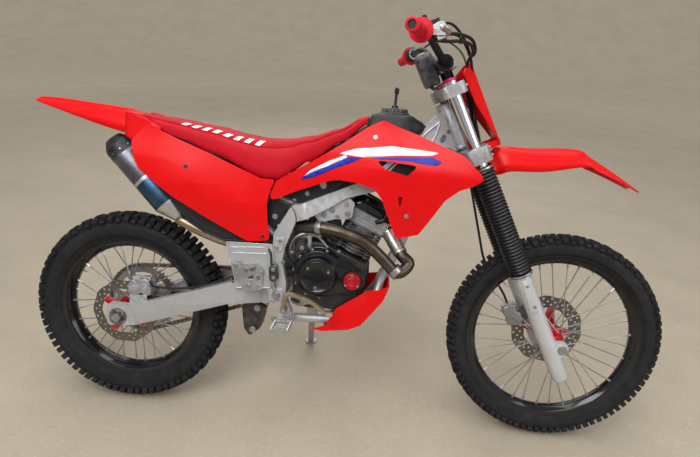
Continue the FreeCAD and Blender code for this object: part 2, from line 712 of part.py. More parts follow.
def pivot_plates():
    """Plates behind the spars' uprights, that guard the rider's heels."""
    plate = Frame("pivot")
    right = slab("pivot_right", plate.side(PIVOT_SHARES), "side", -size.spar_upright_outer - size.pivot_wall,
                 "sizes.pivot_wall", size.pivot_corner)
    return pair("pivot_pair", right)


DOWN_TUBE_SHARES = [(0.965, 1.0), (0.724, 0.445), (0.593, 0.208)]
RAIL_SHARES = [(0.610, 0.26, 0.12), (0.572, 0.16, 0.75), (0.474, 0.0617, 1.0), (0.343, 0.0065, 1.0), (0.0, 0.0, 1.0)]


def frame_cradle():
    """The down tube in front of the engine, and two lower rails under it."""
    cradle = Frame("cradle")
    down = bent_tube("down_tube", [cradle.point(along, 0, up) for along, up in DOWN_TUBE_SHARES],
                     size.cradle_height, "sizes.cradle_tube_radius")
    rail = bent_tube("lower_rail", [cradle.point(along, -across * size.cradle_half_width, up)
                                    for along, up, across in RAIL_SHARES],
                     size.cradle_half_width, "sizes.cradle_rail_radius")
    half = stand_axis * (size.stand_eye_width / 2)
    near = stand_pivot - half - stand_axis * size.bike_seat_gap
    far = stand_pivot + half + stand_axis * size.stand_lug_width
    lug = rod("stand_lug", near - stand_axis * size.stand_lug_width, near, "sizes.stand_eye_radius")
    pin = rod("stand_pin", near, far - stand_axis * (size.stand_lug_width / 2), "sizes.stand_pin_radius")
    gusset = box("stand_gusset", Vector(size.stand_pivot_x - size.stand_gusset_length / 2, size.cradle_half_width,
                                        cradle.z - size.stand_gusset_height), "sizes.stand_gusset_length",
                 "sizes.stand_gusset_width", "sizes.stand_gusset_height")
    joined = fuse("cradle_joined", [down, rail, mirrored("lower_rail_left", rail), lug, pin, gusset])
    return cut("cradle_trimmed", joined, rod("cradle_trim", axis_point(size.head_low),
                                             axis_point(size.head_high), "sizes.head_radius"))


TOP_RAIL_SHARES = [(1.0, 0.43), (0.62, 0.62), (0.0, 0.98)]
STRUT_SHARES = [(0.86, 0.13), (0.30, 0.78)]


def subframe():
    """The rails under the seat, with a strut to each."""
    rear = Frame("subframe")
    y = -size.subframe_half_width
    items = []
    places = [rear.point(along, y, up) for along, up in TOP_RAIL_SHARES]
    for i in range(len(places) - 1):
        items.append(rod("seat_rail_%d" % i, places[i], places[i + 1], "sizes.subframe_tube_radius"))
    strut = [rear.point(along, across, up) for (along, up), across in zip(STRUT_SHARES, (-size.subframe_strut_y, y))]
    items.append(rod("strut", strut[0], strut[1], "sizes.subframe_tube_radius"))
    right = fuse("subframe_right", items)
    cross = rod("subframe_cross", places[-1], places[-1] - along_y * (2 * y), "sizes.subframe_tube_radius")
    joined = fuse("subframe_joined", [right, mirrored("subframe_left", right), cross])
    spars = [doc.getObject("spar_right"), doc.getObject("spar_left")]
    return cut("subframe_trimmed", joined, group("spar_seats", spars))


keep("frame_spars", frame_spars(), on_bike)
keep("pivot_plates", pivot_plates(), on_bike)
keep("frame_cradle", frame_cradle(), on_bike)
keep("subframe", subframe(), on_bike)


# Engine

CASE_SHARES = [(0.02, 0.11), (0.20, 0.0), (0.68, 0.0), (0.97, 0.19), (1.03, 0.53), (1.02, 0.75), (0.56, 1.0),
               (0.20, 1.0), (0.02, 0.79), (0.0, 0.45)]

tilt = math.radians(size.cylinder_tilt)
cylinder_base = Vector(size.cylinder_x, 0, size.cylinder_z)
on_cylinder = Placement(cylinder_base, Rotation(along_y, size.cylinder_tilt))
on_engine = on_bike.multiply(on_cylinder)


def engine_cases():
    """The crankcase, cut flat where the cylinder stands on it."""
    cases = Frame("cases")
    solid = slab("cases_body", cases.side(CASE_SHARES), "side", -size.cases_right,
                 "sizes.cases_right + sizes.cases_left", size.cases_corner)
    deck = box("deck_cut", Vector(-size.cylinder_depth / 2 - size.bike_seat_gap, -size.cylinder_width, 0),
               2 * size.cylinder_depth, "2 * sizes.cylinder_width", "2 * sizes.bike_overrun")
    deck.Placement = on_cylinder.multiply(deck.Placement)
    return cut("cases_decked", solid, deck)


def clutch_cover():
    face = -size.cases_right
    centre = Vector(size.clutch_x, face, size.clutch_z)
    boss = Vector(size.clutch_filter_x, face, size.clutch_filter_z)
    out = along_y * -size.clutch_depth
    items = [rod("clutch_drum", centre, centre + out, "sizes.clutch_radius"),
             rod("filter_boss", boss, boss + out, "sizes.clutch_filter_boss"),
             cone("clutch_dome", centre + out, centre + out - along_y * size.clutch_dome_depth,
                  "sizes.clutch_dome_radius + sizes.clutch_edge", "sizes.clutch_dome_radius - sizes.clutch_edge")]
    return fuse("clutch_joined", items)


def filter_cover():
    start = Vector(size.clutch_filter_x, -size.cases_right - size.clutch_depth, size.clutch_filter_z)
    return cone("filter_cap", start, start - along_y * size.filter_depth, "sizes.filter_radius",
                "sizes.filter_radius - sizes.filter_edge")


def ignition_cover():
    start = Vector(size.ignition_x, size.cases_left, size.ignition_z)
    return cone("ignition_cap", start, start + along_y * size.ignition_depth, "sizes.ignition_radius",
                "sizes.ignition_radius - sizes.ignition_edge")


def finned(name, bottom, length, width, depth, fins, radius):
    """A round core with flat cooling fins, standing on the cylinder's axis."""
    items = [rod(name + "_core", Vector(0, 0, bottom), Vector(0, 0, bottom + length), radius)]
    step = length / fins
    for i in range(fins):
        corner = Vector(-depth / 2, -width / 2, bottom + step * (i + 1) - size.cylinder_fin)
        items.append(box("%s_fin_%d" % (name, i), corner, depth, width, "sizes.cylinder_fin"))
    return fuse(name, items)


def head_cover():
    """The domed black cover over the valves."""
    bottom = size.cylinder_length + size.cylinder_head_length
    half = size.head_cover_width / 2
    top = size.head_cover_top_width / 2
    points = [(-half, bottom), (half, bottom), (half, bottom + size.head_cover_length / 2),
              (top, bottom + size.head_cover_length), (-top, bottom + size.head_cover_length),
              (-half, bottom + size.head_cover_length / 2)]
    return slab("head_cover_body", points, "front", -size.head_cover_depth / 2, "sizes.head_cover_depth",
                size.head_cover_corner)


keep("engine_cases", engine_cases(), on_bike)
keep("clutch_cover", clutch_cover(), on_bike)
keep("filter_cover", filter_cover(), on_bike)
keep("ignition_cover", ignition_cover(), on_bike)
keep("cylinder", finned("barrel", 0, size.cylinder_length, size.cylinder_width, size.cylinder_depth,
                        int(size.cylinder_fins), "sizes.cylinder_core_radius"), on_engine)
keep("cylinder_head", finned("top_end", size.cylinder_length, size.cylinder_head_length, size.cylinder_head_width,
                             size.cylinder_head_depth, int(size.cylinder_head_fins),
                             "sizes.cylinder_head_core_radius"), on_engine)
keep("head_cover", head_cover(), on_engine)


# Intake and fuel

AIRBOX_SHARES = [(0.0, 0.55), (0.62, 0.30), (0.90, 0.0), (1.0, 0.05), (1.0, 0.60), (0.70, 0.70), (0.1, 0.98)]


def airbox():
    """The air filter's box under the seat, with the duct to the engine's intake."""
    item = Frame("airbox")
    half = size.subframe_half_width - size.subframe_tube_radius - size.bike_seat_gap
    body = slab("airbox_body", item.side(AIRBOX_SHARES), "side", -half, 2 * half, size.airbox_corner)
    start = item.point(0.95, 0, 0.45)
    duct = rod("intake_duct", start, Vector(size.airbox_duct_x, 0, size.airbox_duct_z), "sizes.airbox_duct_radius")
    return fuse("airbox_joined", [body, duct])


TANK_SHARES = [(0.0, 0.3358), (0.279, 0.6107), (0.4886, 0.8453), (0.507, 1.0), (0.849, 1.0), (1.0, 0.897),
               (0.877, 0.6815), (0.467, 0.1432), (0.0228, 0.0)]
TANK_PLAN_SHARES = [(0.0, 0.62), (0.35, 1.0), (0.75, 1.0), (1.0, 0.5)]


def two_sided(frame, shares, half_width):
    """Plan outline of a symmetric piece, from shares of its length and half width."""
    right = [(frame.x + along * frame.length, -across * half_width) for along, across in shares]
    return right + [(x, -y) for x, y in reversed(right)]


def tank():
    item = Frame("tank")
    side = slab("tank_side", item.side(TANK_SHARES), "side", -size.tank_half_width, "2 * sizes.tank_half_width")
    plan = slab("tank_plan", two_sided(item, TANK_PLAN_SHARES, size.tank_half_width), "plan", item.z,
                "sizes.tank_height", size.tank_corner)
    return common("tank_body", side, plan)


def fuel_cap():
    base = Vector(size.cap_x, 0, size.tank_z + size.tank_height)
    top = base + along_z * size.cap_height
    stem = top + along_z * size.cap_stem_height
    return fuse("cap_joined", [rod("cap_disc", base, top, "sizes.cap_radius"),
                               rod("cap_stem", top, stem, "sizes.cap_stem_radius"),
                               rod("cap_breather", stem, base + along_z * size.cap_tube_height,
                                   "sizes.cap_tube_radius")])


keep("airbox", airbox(), on_bike)
keep("fuel_tank", tank(), on_bike)
keep("fuel_cap", fuel_cap(), on_bike)


# Seat and plastics

SEAT_SHARES = [(0.0, 0.816), (0.127, 0.777), (0.336, 0.689), (0.458, 0.602), (0.568, 0.563), (0.653, 0.573),
               (0.767, 0.65), (0.88, 0.782), (0.99, 1.0), (1.0, 0.879), (0.898, 0.602), (0.762, 0.277), (0.635, 0.0),
               (0.571, 0.01), (0.355, 0.316), (0.199, 0.51), (0.0696, 0.684)]
SEAT_REAR_SHARES = [SEAT_SHARES[0], SEAT_SHARES[-1], SEAT_SHARES[-2]]
SEAT_PLAN_SHARES = [(0.0, 0.62), (0.10, 0.86), (0.45, 1.0), (0.66, 0.92), (1.0, 0.45)]


# The crown across the seat: shares of its half width there, and of the fall of its top at the edge
CROWN_SHARES = [(-1.3, 1.9), (-1.0, 1.0), (-0.8, 0.35), (-0.5, -0.06), (0.5, -0.06), (0.8, 0.35), (1.0, 1.0),
                (1.3, 1.9)]


def between(points, place):
    """The value at a place on a line through (place, value) points."""
    for (start, first), (end, last) in zip(points, points[1:]):
        if place <= end:
            return first + (last - first) * (place - start) / (end - start)
    return points[-1][1]


def seat():
    item = Frame("seat")
    side = slab("seat_side", item.side(SEAT_SHARES), "side", -size.seat_half_width, "2 * sizes.seat_half_width")
    plan = slab("seat_plan", two_sided(item, SEAT_PLAN_SHARES, size.seat_half_width), "plan", item.z,
                "sizes.seat_height", size.seat_corner)
    top = SEAT_SHARES[:9]
    over = size.bike_overrun / item.length
    sections = []
    for along, up in [(top[0][0] - over, top[0][1])] + top + [(top[-1][0] + over, top[-1][1])]:
        half = size.seat_half_width * between(SEAT_PLAN_SHARES, max(along, 0))
        upper = item.point(along, 0, up)
        outer = [upper + Vector(0, across * half, -fall * size.seat_crown) for across, fall in CROWN_SHARES]
        sections.append(outer + [Vector(point.x, point.y, item.z - size.bike_overrun) for point in reversed(outer)])
    return common("seat_body", common("seat_box", side, plan), lofted("seat_crown", sections))


PANEL_SHARES = [(0.0, 0.843), (0.102, 1.0), (0.309, 0.891), (0.558, 0.772), (0.9, 0.589), (1.0, 0.583), (0.969, 0.5),
                (0.949, 0.373), (0.973, 0.0178), (0.818, 0.0), (0.52, 0.201), (0.307, 0.364), (0.202, 0.453),
                (0.0533, 0.604), (0.0156, 0.737)]
SHROUD_SHARES = [(0.0, 0.238), (0.146, 0.361), (0.298, 0.47), (0.339, 0.484), (0.51, 0.424), (0.547, 0.341),
                 (0.607, 0.0802), (0.628, 0.0), (0.731, 0.0602), (0.765, 0.163), (0.834, 0.381), (0.892, 0.476),
                 (0.946, 0.519), (1.0, 0.585), (0.899, 0.759), (0.696, 0.894), (0.604, 0.948), (0.526, 1.0),
                 (0.458, 0.934), (0.342, 0.779), (0.179, 0.587), (0.0349, 0.427)]


VENT_SHARES = [(0.5055, 0.67), (0.599, 0.662), (0.7, 0.648), (0.6545, 0.559), (0.5515, 0.602)]
SLOT_SHARES = [(0.62, 0.381), (0.643, 0.378), (0.632, 0.269)]

# How a panel bows: at each share of its length, (share of its height, share of its reach from the middle) points
SHROUD_BOW = [(-0.05, [(-0.1, 0.571), (0.12, 0.633), (0.278, 0.622), (1.1, 0.561)]),
              (0.35, [(-0.1, 0.653), (0.53, 0.76), (0.679, 0.735), (1.1, 0.592)]),
              (0.62, [(-0.1, 0.663), (0.393, 0.765), (0.599, 0.806), (1.1, 0.602)]),
              (1.05, [(-0.1, 0.857), (0.335, 0.959), (0.582, 1.0), (1.1, 0.837)])]
PANEL_BOW = [(-0.05, [(-0.1, 0.704), (0.683, 0.873), (1.1, 0.704)]),
             (0.349, [(-0.1, 0.817), (0.506, 1.0), (1.1, 0.761)]),
             (0.749, [(-0.1, 0.873), (0.358, 1.0), (1.1, 0.817)]),
             (1.05, [(-0.1, 0.845), (0.358, 0.873), (1.1, 0.817)])]


def bowed(piece, name, bow, depth):
    """A solid under the bowed surface of a panel: as thick as its wall, or down to the middle of the bike."""
    item = Frame(piece)
    reach = getattr(size, piece + "_reach")
    sections = []
    for along, line in bow:
        outer = [item.point(along, -out * reach, up) for up, out in line]
        inner = [Vector(point.x, point.y + depth if depth else 0, point.z) for point in reversed(outer)]
        sections.append(outer + inner)
    return lofted(name, sections)


def skin(piece, shares, bow):
    """A thin panel: its side outline, bowed outwards."""
    reach = getattr(size, piece + "_reach") + size.bike_overrun
    side = slab(piece + "_side", Frame(piece).side(shares), "side", -reach, reach)
    return common(piece + "_right", side, bowed(piece, piece + "_bow", bow, getattr(size, piece + "_wall")))


def with_boss(piece, panel, bow, inner):
    """The panel with the boss that bolts it to what lies inside it."""
    x = getattr(size, piece + "_boss_x")
    z = getattr(size, piece + "_boss_z")
    reach = getattr(size, piece + "_reach")
    bar = rod(piece + "_boss_bar", Vector(x, -reach, z), Vector(x, -inner - size.bike_seat_gap, z),
              "sizes.%s_boss_radius" % piece)
    under = bowed(piece, piece + "_under", bow, 0)
    under.Placement = Placement(along_y * (getattr(size, piece + "_wall") / 2), Rotation())
    return fuse(piece + "_bossed", [panel, common(piece + "_boss", bar, under)])


def side_panels():
    panel = skin("side_panel", PANEL_SHARES, PANEL_BOW)
    return pair("side_panel_pair", with_boss("side_panel", panel, PANEL_BOW,
                                             size.subframe_half_width + size.subframe_tube_radius))


def shrouds():
    """The tank's side covers, with the vent and the slot in each."""
    item = Frame("shroud")
    cuts = [slab(name, item.side(shares), "side", -size.shroud_reach, size.shroud_reach)
            for name, shares in (("shroud_vent", VENT_SHARES), ("shroud_slot", SLOT_SHARES))]
    panel = cut("shroud_cut", skin("shroud", SHROUD_SHARES, SHROUD_BOW), group("shroud_cuts", cuts))
    return pair("shroud_pair", with_boss("shroud", panel, SHROUD_BOW, size.tank_half_width))


ARCH_SHARES = [-1.0, -0.9, -0.75, -0.5, 0.5, 0.75, 0.9, 1.0]


def arched(piece, stations):
    """A fender through stations: (x, top z) with shares of its half width and of the drop of its edges."""
    wall = getattr(size, piece + "_wall")
    sections = []
    for x, top, wide, drop in stations:
        half = wide * getattr(size, piece + "_half_width")
        fall = drop * getattr(size, piece + "_drop")
        line = [(share, fall * (2 * abs(share) - 1) ** 2) for share in ARCH_SHARES]
        outer = [Vector(x, share * half, top - down) for share, down in line]
        inner = [Vector(x, share * (half - wall), top - down - wall) for share, down in reversed(line)]
        sections.append(outer + inner)
    return lofted(piece + "_body", sections)


# Stations of the tail: shares of its length, rise, half width and drop
TAIL_STATIONS = [(1.0, 1.0, 0.36, 0.1), (0.93, 0.96, 0.5, 0.3), (0.8, 0.85, 0.62, 0.55), (0.5, 0.59, 0.8, 0.85),
                 (0.25, 0.36, 0.93, 1.0), (0.03, 0.12, 1.0, 1.0)]


def rear_fender():
    """The tail behind the seat, and a lap that follows the seat's underside."""
    root, turn, front = [(x, z - size.bike_seat_gap) for x, z in Frame("seat").side(SEAT_REAR_SHARES)]
    stations = [(root[0] - along * size.rear_fender_tail, root[1] + up * size.rear_fender_rise, wide, drop)
                for along, up, wide, drop in TAIL_STATIONS]
    lap = (root[0] + size.rear_fender_lap - turn[0]) / (front[0] - turn[0])
    end = (turn[0] + lap * (front[0] - turn[0]), turn[1] + lap * (front[1] - turn[1]))
    low = size.rear_fender_lap_drop / size.rear_fender_drop
    return arched("rear_fender", stations + [root + (1.0, 0.9), turn + (1.0, low), end + (1.0, low)])


def mud_flap():
    """A flap that stands on the swingarm's cross member, between the engine and the tyre."""
    low = size.swing_cross_z + size.swing_cross_height + size.bike_seat_gap
    middle = low + size.mud_flap_height / 2
    high = low + size.mud_flap_height
    front = size.mud_flap_x + size.mud_flap_length
    wall = size.mud_flap_wall
    points = [(size.mud_flap_x, low), (size.mud_flap_x + wall, low), (front, middle), (front, high),
              (front - wall, high), (front - wall, middle)]
    return slab("mud_flap_body", points, "side", -size.mud_flap_half_width, "2 * sizes.mud_flap_half_width")


GUARD_SHARES = [(0.0, 0.024), (0.173, 0.114), (0.312, 0.479), (0.705, 0.874), (0.873, 0.91), (1.0, 1.0),
                (0.932, 0.701), (0.654, 0.174), (0.485, 0.0659), (0.143, 0.0)]


def engine_guard():
    """A tray under the engine: side walls and a floor that turns up in front, with tabs to the lower rails."""
    item = Frame("guard")
    half = size.guard_half_width
    wall = size.guard_wall
    side = slab("guard_side", item.side(GUARD_SHARES), "side", -half, "sizes.guard_wall")
    line = item.side(GUARD_SHARES[5:])
    floor = slab("guard_floor", line + [(x, z + wall) for x, z in reversed(line[1:])]
                 + [(line[0][0] - wall, line[0][1])], "side", -half, "2 * sizes.guard_half_width")
    tab_top = size.cradle_z - size.cradle_rail_radius - size.bike_seat_gap
    tab = box("guard_tab", Vector(size.guard_tab_x, -size.cradle_half_width - wall, item.z + wall / 2),
              "sizes.guard_tab_length", "2 * sizes.guard_wall", tab_top - item.z - wall / 2)
    return fuse("guard_body", [side, mirrored("guard_side_left", side), floor, tab, mirrored("guard_tab_left", tab)])


keep("seat", seat(), on_bike)
keep("side_panels", side_panels(), on_bike)
keep("shrouds", shrouds(), on_bike)
keep("rear_fender", rear_fender(), on_bike)
keep("mud_flap", mud_flap(), on_bike)
keep("engine_guard", engine_guard(), on_bike)


# Exhaust

HEADER_SHARES = [(0.964, 0.72, 0.541), (1.0, 0.82, 0.213), (0.946, 1.0, 0.0), (0.879, 1.0, 0.311),
                 (0.802, 1.0, 0.656), (0.717, 1.0, 0.869), (0.576, 0.94, 1.0), (0.44, 0.643, 0.918),
                 (0.276, 0.643, 0.68), (0.118, 0.68, 0.41), (0.0, 0.68, 0.713)]

silencer_front = Vector(size.silencer_front_x, -size.silencer_y, size.silencer_front_z)
silencer_rear = Vector(size.silencer_rear_x, -size.silencer_y, size.silencer_rear_z)
silencer_line = (silencer_rear - silencer_front).normalize()


def header():
    """The pipe from the exhaust port, round in front of the engine and back past it to the silencer."""
    port = Vector(size.cylinder_head_depth / 2 + size.bike_seat_gap, -size.header_port_y,
                  size.cylinder_length + size.cylinder_head_length / 2)
    points = [on_cylinder.multVec(port), on_cylinder.multVec(port + along_x * size.header_stub)]
    item = Frame("header", points[1].x + size.header_lead - size.header_length)
    points += [item.point(along, -across * size.header_outer_y, up) for along, across, up in HEADER_SHARES]
    points += [silencer_front - silencer_line * size.header_stub, silencer_front - silencer_line * size.bike_seat_gap]
    pipe = bent_tube("header_pipe", points, size.header_outer_y, "sizes.header_radius")
    way = points[2] - points[1]
    sleeve = rod("heat_sleeve", points[1] + way * SLEEVE_SHARES[0], points[1] + way * SLEEVE_SHARES[1],
                 "sizes.header_sleeve_radius")
    return fuse("header_joined", [pipe, sleeve])


SLEEVE_SHARES = (0.35, 0.9)


def silencer():
    neck = silencer_front + silencer_line * size.silencer_cone_length
    items = [cone("silencer_cone", silencer_front, neck, "sizes.header_radius + sizes.header_wall",
                  "sizes.silencer_radius"),
             rod("silencer_can", neck, silencer_rear, "sizes.silencer_radius")]
    return fuse("silencer_joined", items)


def silencer_cap():
    rim_end = silencer_rear + silencer_line * size.silencer_cap_length
    solid = cone("cap_cone", silencer_rear, rim_end, "sizes.silencer_radius",
                 "sizes.silencer_outlet_radius + sizes.silencer_outlet_wall")
    return cut("cap_bored", solid, rod("cap_outlet", silencer_rear, rim_end + silencer_line,
                                       "sizes.silencer_outlet_radius"))


keep("exhaust_header", header(), on_bike)
keep("silencer", silencer(), on_bike)
keep("silencer_cap", silencer_cap(), on_bike)


# Rear end

SWING_SHARES = [(0.147, 0.401), (0.0204, 0.412), (0.0, 0.181), (0.0204, 0.0), (0.167, 0.0385), (0.705, 0.604),
                (1.0, 0.604), (1.0, 0.868), (0.804, 0.868), (0.705, 1.0)]


def swingarm():
    """Two box arms that turn inwards to the pivot, joined by a cross member."""
    item = Frame("swing")
    side = slab("arm_side", item.side(SWING_SHARES), "side", -size.swing_outer, "sizes.swing_outer",
                size.swing_corner)
    turn = size.swing_turn_x
    end_x = item.x + item.length
    straight = size.swing_straight_x
    band = [(item.x, -size.swing_outer), (turn, -size.swing_outer), (straight, -size.swing_pivot_outer),
            (end_x, -size.swing_pivot_outer), (end_x, -size.swing_pivot_inner), (straight, -size.swing_pivot_inner),
            (turn, -size.swing_inner), (item.x, -size.swing_inner)]
    plan = slab("arm_plan", band, "plan", item.z, "sizes.swing_height")
    right = common("arm_right", side, plan)
    cross = box("cross_member", Vector(size.swing_cross_x, -size.swing_inner, size.swing_cross_z),
                "sizes.swing_cross_length", "2 * sizes.swing_inner", "sizes.swing_cross_height")
    shaft_y = size.spar_upright_inner - size.bike_seat_gap
    shaft = rod("pivot_shaft", Vector(size.swing_pivot_x, -shaft_y, size.swing_pivot_z),
                Vector(size.swing_pivot_x, shaft_y, size.swing_pivot_z), "sizes.swing_pivot_radius")
    joined = fuse("swing_joined", [right, mirrored("arm_left", right), cross, shaft])
    bore = rod("swing_bore", rear_centre - along_y * size.swing_outer, rear_centre + along_y * size.swing_outer,
               "sizes.rear_axle_radius")
    return cut("swing_bored", joined, bore)


def rear_axle():
    half = size.axle_length / 2
    head = along_y * size.axle_head_length
    low = rear_centre - along_y * half
    high = rear_centre + along_y * half
    return fuse("rear_axle_joined", [rod("rear_axle_bar", low, high, "sizes.rear_axle_radius"),
                                     prism("rear_axle_nut", low, low + head, "sizes.axle_head_radius"),
                                     prism("rear_axle_head", high - head, high, "sizes.axle_head_radius")])


LINK_SHARES = [(0.0714, 1.0), (0.464, 1.0), (1.0, 0.803), (0.774, 0.228), (0.345, 0.0), (0.107, 0.206), (0.0, 0.752)]


def shock():
    """Damper with its spring, and the rocker that hangs under the swingarm's cross member."""
    low = Vector(size.shock_low_x, 0, size.shock_low_z)
    high = Vector(size.shock_high_x, 0, size.shock_high_z)
    reach = high - low
    damper = rod("damper", low, high, "sizes.shock_radius")
    spring = prism("spring", low + reach * size.shock_spring_low_share, low + reach * size.shock_spring_high_share,
                   "sizes.shock_spring_radius", 12)
    rise = size.swing_cross_z - size.bike_seat_gap - size.link_z
    points = [(size.link_x + along * size.link_length, size.link_z + up * rise) for along, up in LINK_SHARES]
    rocker = slab("rocker", points, "side", -size.link_width / 2, "sizes.link_width")
    return fuse("shock_joined", [damper, spring, rocker])


keep("swingarm", swingarm(), on_bike)
keep("rear_axle", rear_axle(), on_bike)
keep("rear_shock", shock(), on_bike)


def rear_caliper():
    """The block over the disc, with its mount beside the swingarm."""
    corner = Vector(size.rear_caliper_x, size.rear_disc_y - size.rear_caliper_width / 2, size.rear_caliper_z)
    block = box("rear_caliper_block", corner, "sizes.rear_caliper_length", "sizes.rear_caliper_width",
                "sizes.rear_caliper_height")
    mount = box("rear_caliper_mount", Vector(corner.x + size.rear_caliper_mount_wall, corner.y,
                                             size.rear_caliper_mount_z), "sizes.rear_caliper_mount_length",
                "sizes.rear_caliper_mount_wall", size.rear_caliper_z - size.rear_caliper_mount_z)
    top = size.bike_rear_axle_height + size.rear_disc_radius + size.rear_caliper_slot / 4
    slot = box("rear_caliper_slot_cut", corner + Vector(-size.bike_overrun,
                                                        (size.rear_caliper_width - size.rear_caliper_slot) / 2,
                                                        -size.bike_overrun),
               size.rear_caliper_length + 2 * size.bike_overrun, "sizes.rear_caliper_slot",
               top - size.rear_caliper_z + size.bike_overrun)
    return cut("rear_caliper_body", fuse("rear_caliper_joined", [block, mount]), slot)


keep("rear_caliper", rear_caliper(), on_bike)


# Foot controls

def footpegs():
    """Pegs on brackets that lie against the spars' lower ends."""
    corner = Vector(size.peg_x, -size.peg_inner - size.peg_width, size.peg_z)
    peg = box("peg", corner, "sizes.peg_length", "sizes.peg_width", "sizes.peg_height")
    seat_y = size.spar_upright_outer + size.bike_seat_gap
    mount = box("peg_mount", Vector(size.peg_x + (size.peg_length - size.peg_mount_length) / 2, -size.peg_inner,
                                    size.peg_z - (size.peg_mount_height - size.peg_height) / 2),
                "sizes.peg_mount_length", size.peg_inner - seat_y, "sizes.peg_mount_height")
    return pair("peg_pair", fuse("peg_right", [peg, mount]))


PEDAL_SHARES = [(0.0, 0.1), (0.09, 0.87), (0.34, 0.80), (0.58, 0.62), (0.84, 0.23), (1.0, 0.2)]


def brake_pedal():
    """A curved arm on a shaft from the frame."""
    item = Frame("pedal")
    top = item.side(PEDAL_SHARES)
    low = [(x, z - size.pedal_bar) for x, z in reversed(top)]
    arm = slab("pedal_arm", top + low, "side", -size.pedal_y - size.pedal_thickness / 2, "sizes.pedal_thickness")
    seat_y = size.spar_upright_outer + size.bike_seat_gap
    shaft = rod("pedal_shaft", Vector(size.pedal_shaft_x, -size.pedal_y, size.pedal_shaft_z),
                Vector(size.pedal_shaft_x, -seat_y, size.pedal_shaft_z), "sizes.pedal_shaft_radius")
    return fuse("pedal_joined", [arm, shaft])


def gear_lever():
    """A lever on the shaft that comes out of the crankcase, with its toe piece."""
    shaft = Vector(size.gear_x, size.cases_left + size.bike_seat_gap, size.gear_z)
    knee = Vector(size.gear_x, size.gear_y, size.gear_z)
    tip = Vector(size.gear_x + size.gear_length, size.gear_y, size.gear_z + size.gear_rise)
    return fuse("gear_joined", [rod("gear_shaft", shaft, knee, "sizes.gear_radius"),
                                rod("gear_arm", knee, tip, "sizes.gear_radius"),
                                rod("gear_toe", tip, tip + along_y * size.gear_toe, "sizes.gear_radius")])


keep("footpegs", footpegs(), on_bike)
keep("brake_pedal", brake_pedal(), on_bike)
keep("gear_lever", gear_lever(), on_bike)


# Side stand

def floor_height(x, y):
    """Height in the upright bike's frame of the floor under (x, y), when the bike leans."""
    return (y * math.sin(lean) - lift) / math.cos(lean)


def side_stand():
    """A leg from its eye on the pin to a foot that lies on the floor."""
    foot = Vector(size.stand_foot_x, size.stand_foot_y, floor_height(size.stand_foot_x, size.stand_foot_y))
    normal = Vector(0, -math.sin(lean), math.cos(lean))
    half = stand_axis * (size.stand_eye_width / 2)
    eye = rod("stand_eye", stand_pivot - half, stand_pivot + half, "sizes.stand_eye_radius")
    pad = rod("stand_pad", foot, foot + normal * size.stand_foot_height, "sizes.stand_foot_radius")
    ankle = foot + normal * (size.stand_foot_height / 2)
    leg_start = stand_pivot + (ankle - stand_pivot).normalize() * (size.stand_eye_radius / 2)
    bar = rod("stand_leg", leg_start, ankle, "sizes.stand_radius")
    under = box("stand_trim", Vector(-size.bike_overrun, -size.bike_overrun, -size.bike_overrun),
                "2 * sizes.bike_overrun", "2 * sizes.bike_overrun", "sizes.bike_overrun")
    under.Placement = Placement(foot, Rotation(along_z, normal)).multiply(under.Placement)
    bore = rod("stand_bore", stand_pivot - half * 2, stand_pivot + half * 2,
               "sizes.stand_pin_radius + sizes.bike_pin_clearance")
    return cut("stand_body", fuse("stand_joined", [eye, pad, bar]), group("stand_cuts", [under, bore]))


keep("side_stand", side_stand(), on_bike)


# Fork, drawn upright in the steering axis's own frame: z up the axis from the front axle, x in front of it

leg_y = size.steer_leg_spacing / 2
leg_x = size.steer_leg_offset


def leg(z, x=leg_x):
    return Vector(x, -leg_y, z)


def clamp_slab(name, low, high):
    """A fork clamp: rounds at both legs and at the stem, joined by a web."""
    hug = size.clamp_hug
    depth = size.clamp_depth / 2
    points = [(leg_x - hug, -leg_y - hug), (leg_x + hug, -leg_y - hug), (leg_x + hug, -leg_y + hug),
              (leg_x + depth * 0.5, 0), (leg_x + hug, leg_y - hug), (leg_x + hug, leg_y + hug),
              (leg_x - hug, leg_y + hug), (leg_x - hug, leg_y - hug), (leg_x - depth - hug * 0.6, hug),
              (leg_x - depth - hug * 0.6, -hug), (leg_x - hug, -leg_y + hug)]
    return slab(name, points, "plan", low, high - low, hug * 0.5)


def clamps():
    low = clamp_slab("clamp_low", size.clamp_low, size.clamp_high)
    high = clamp_slab("clamp_high", size.clamp_top_low, size.clamp_top_high)
    stem = rod("stem", Vector(0, 0, size.clamp_low), Vector(0, 0, size.clamp_top_high), "sizes.clamp_stem_radius")
    joined = fuse("clamps_joined", [low, high, stem])
    bores = [rod("leg_bore_right", leg(size.fork_slider_low), leg(size.fork_tube_top), "sizes.fork_tube_radius")]
    bores.append(mirrored("leg_bore_left", bores[0]))
    return cut("clamps_bored", joined, group("leg_bores", bores))


def fork_tubes():
    tube = rod("fork_tube", leg(size.fork_gaiter_low), leg(size.fork_tube_top), "sizes.fork_tube_radius")
    top = rod("fork_cap", leg(size.fork_tube_top), leg(size.fork_tube_top + size.fork_cap_height),
              "sizes.fork_cap_radius")
    return pair("fork_tube_pair", fuse("fork_tube_capped", [tube, top]))


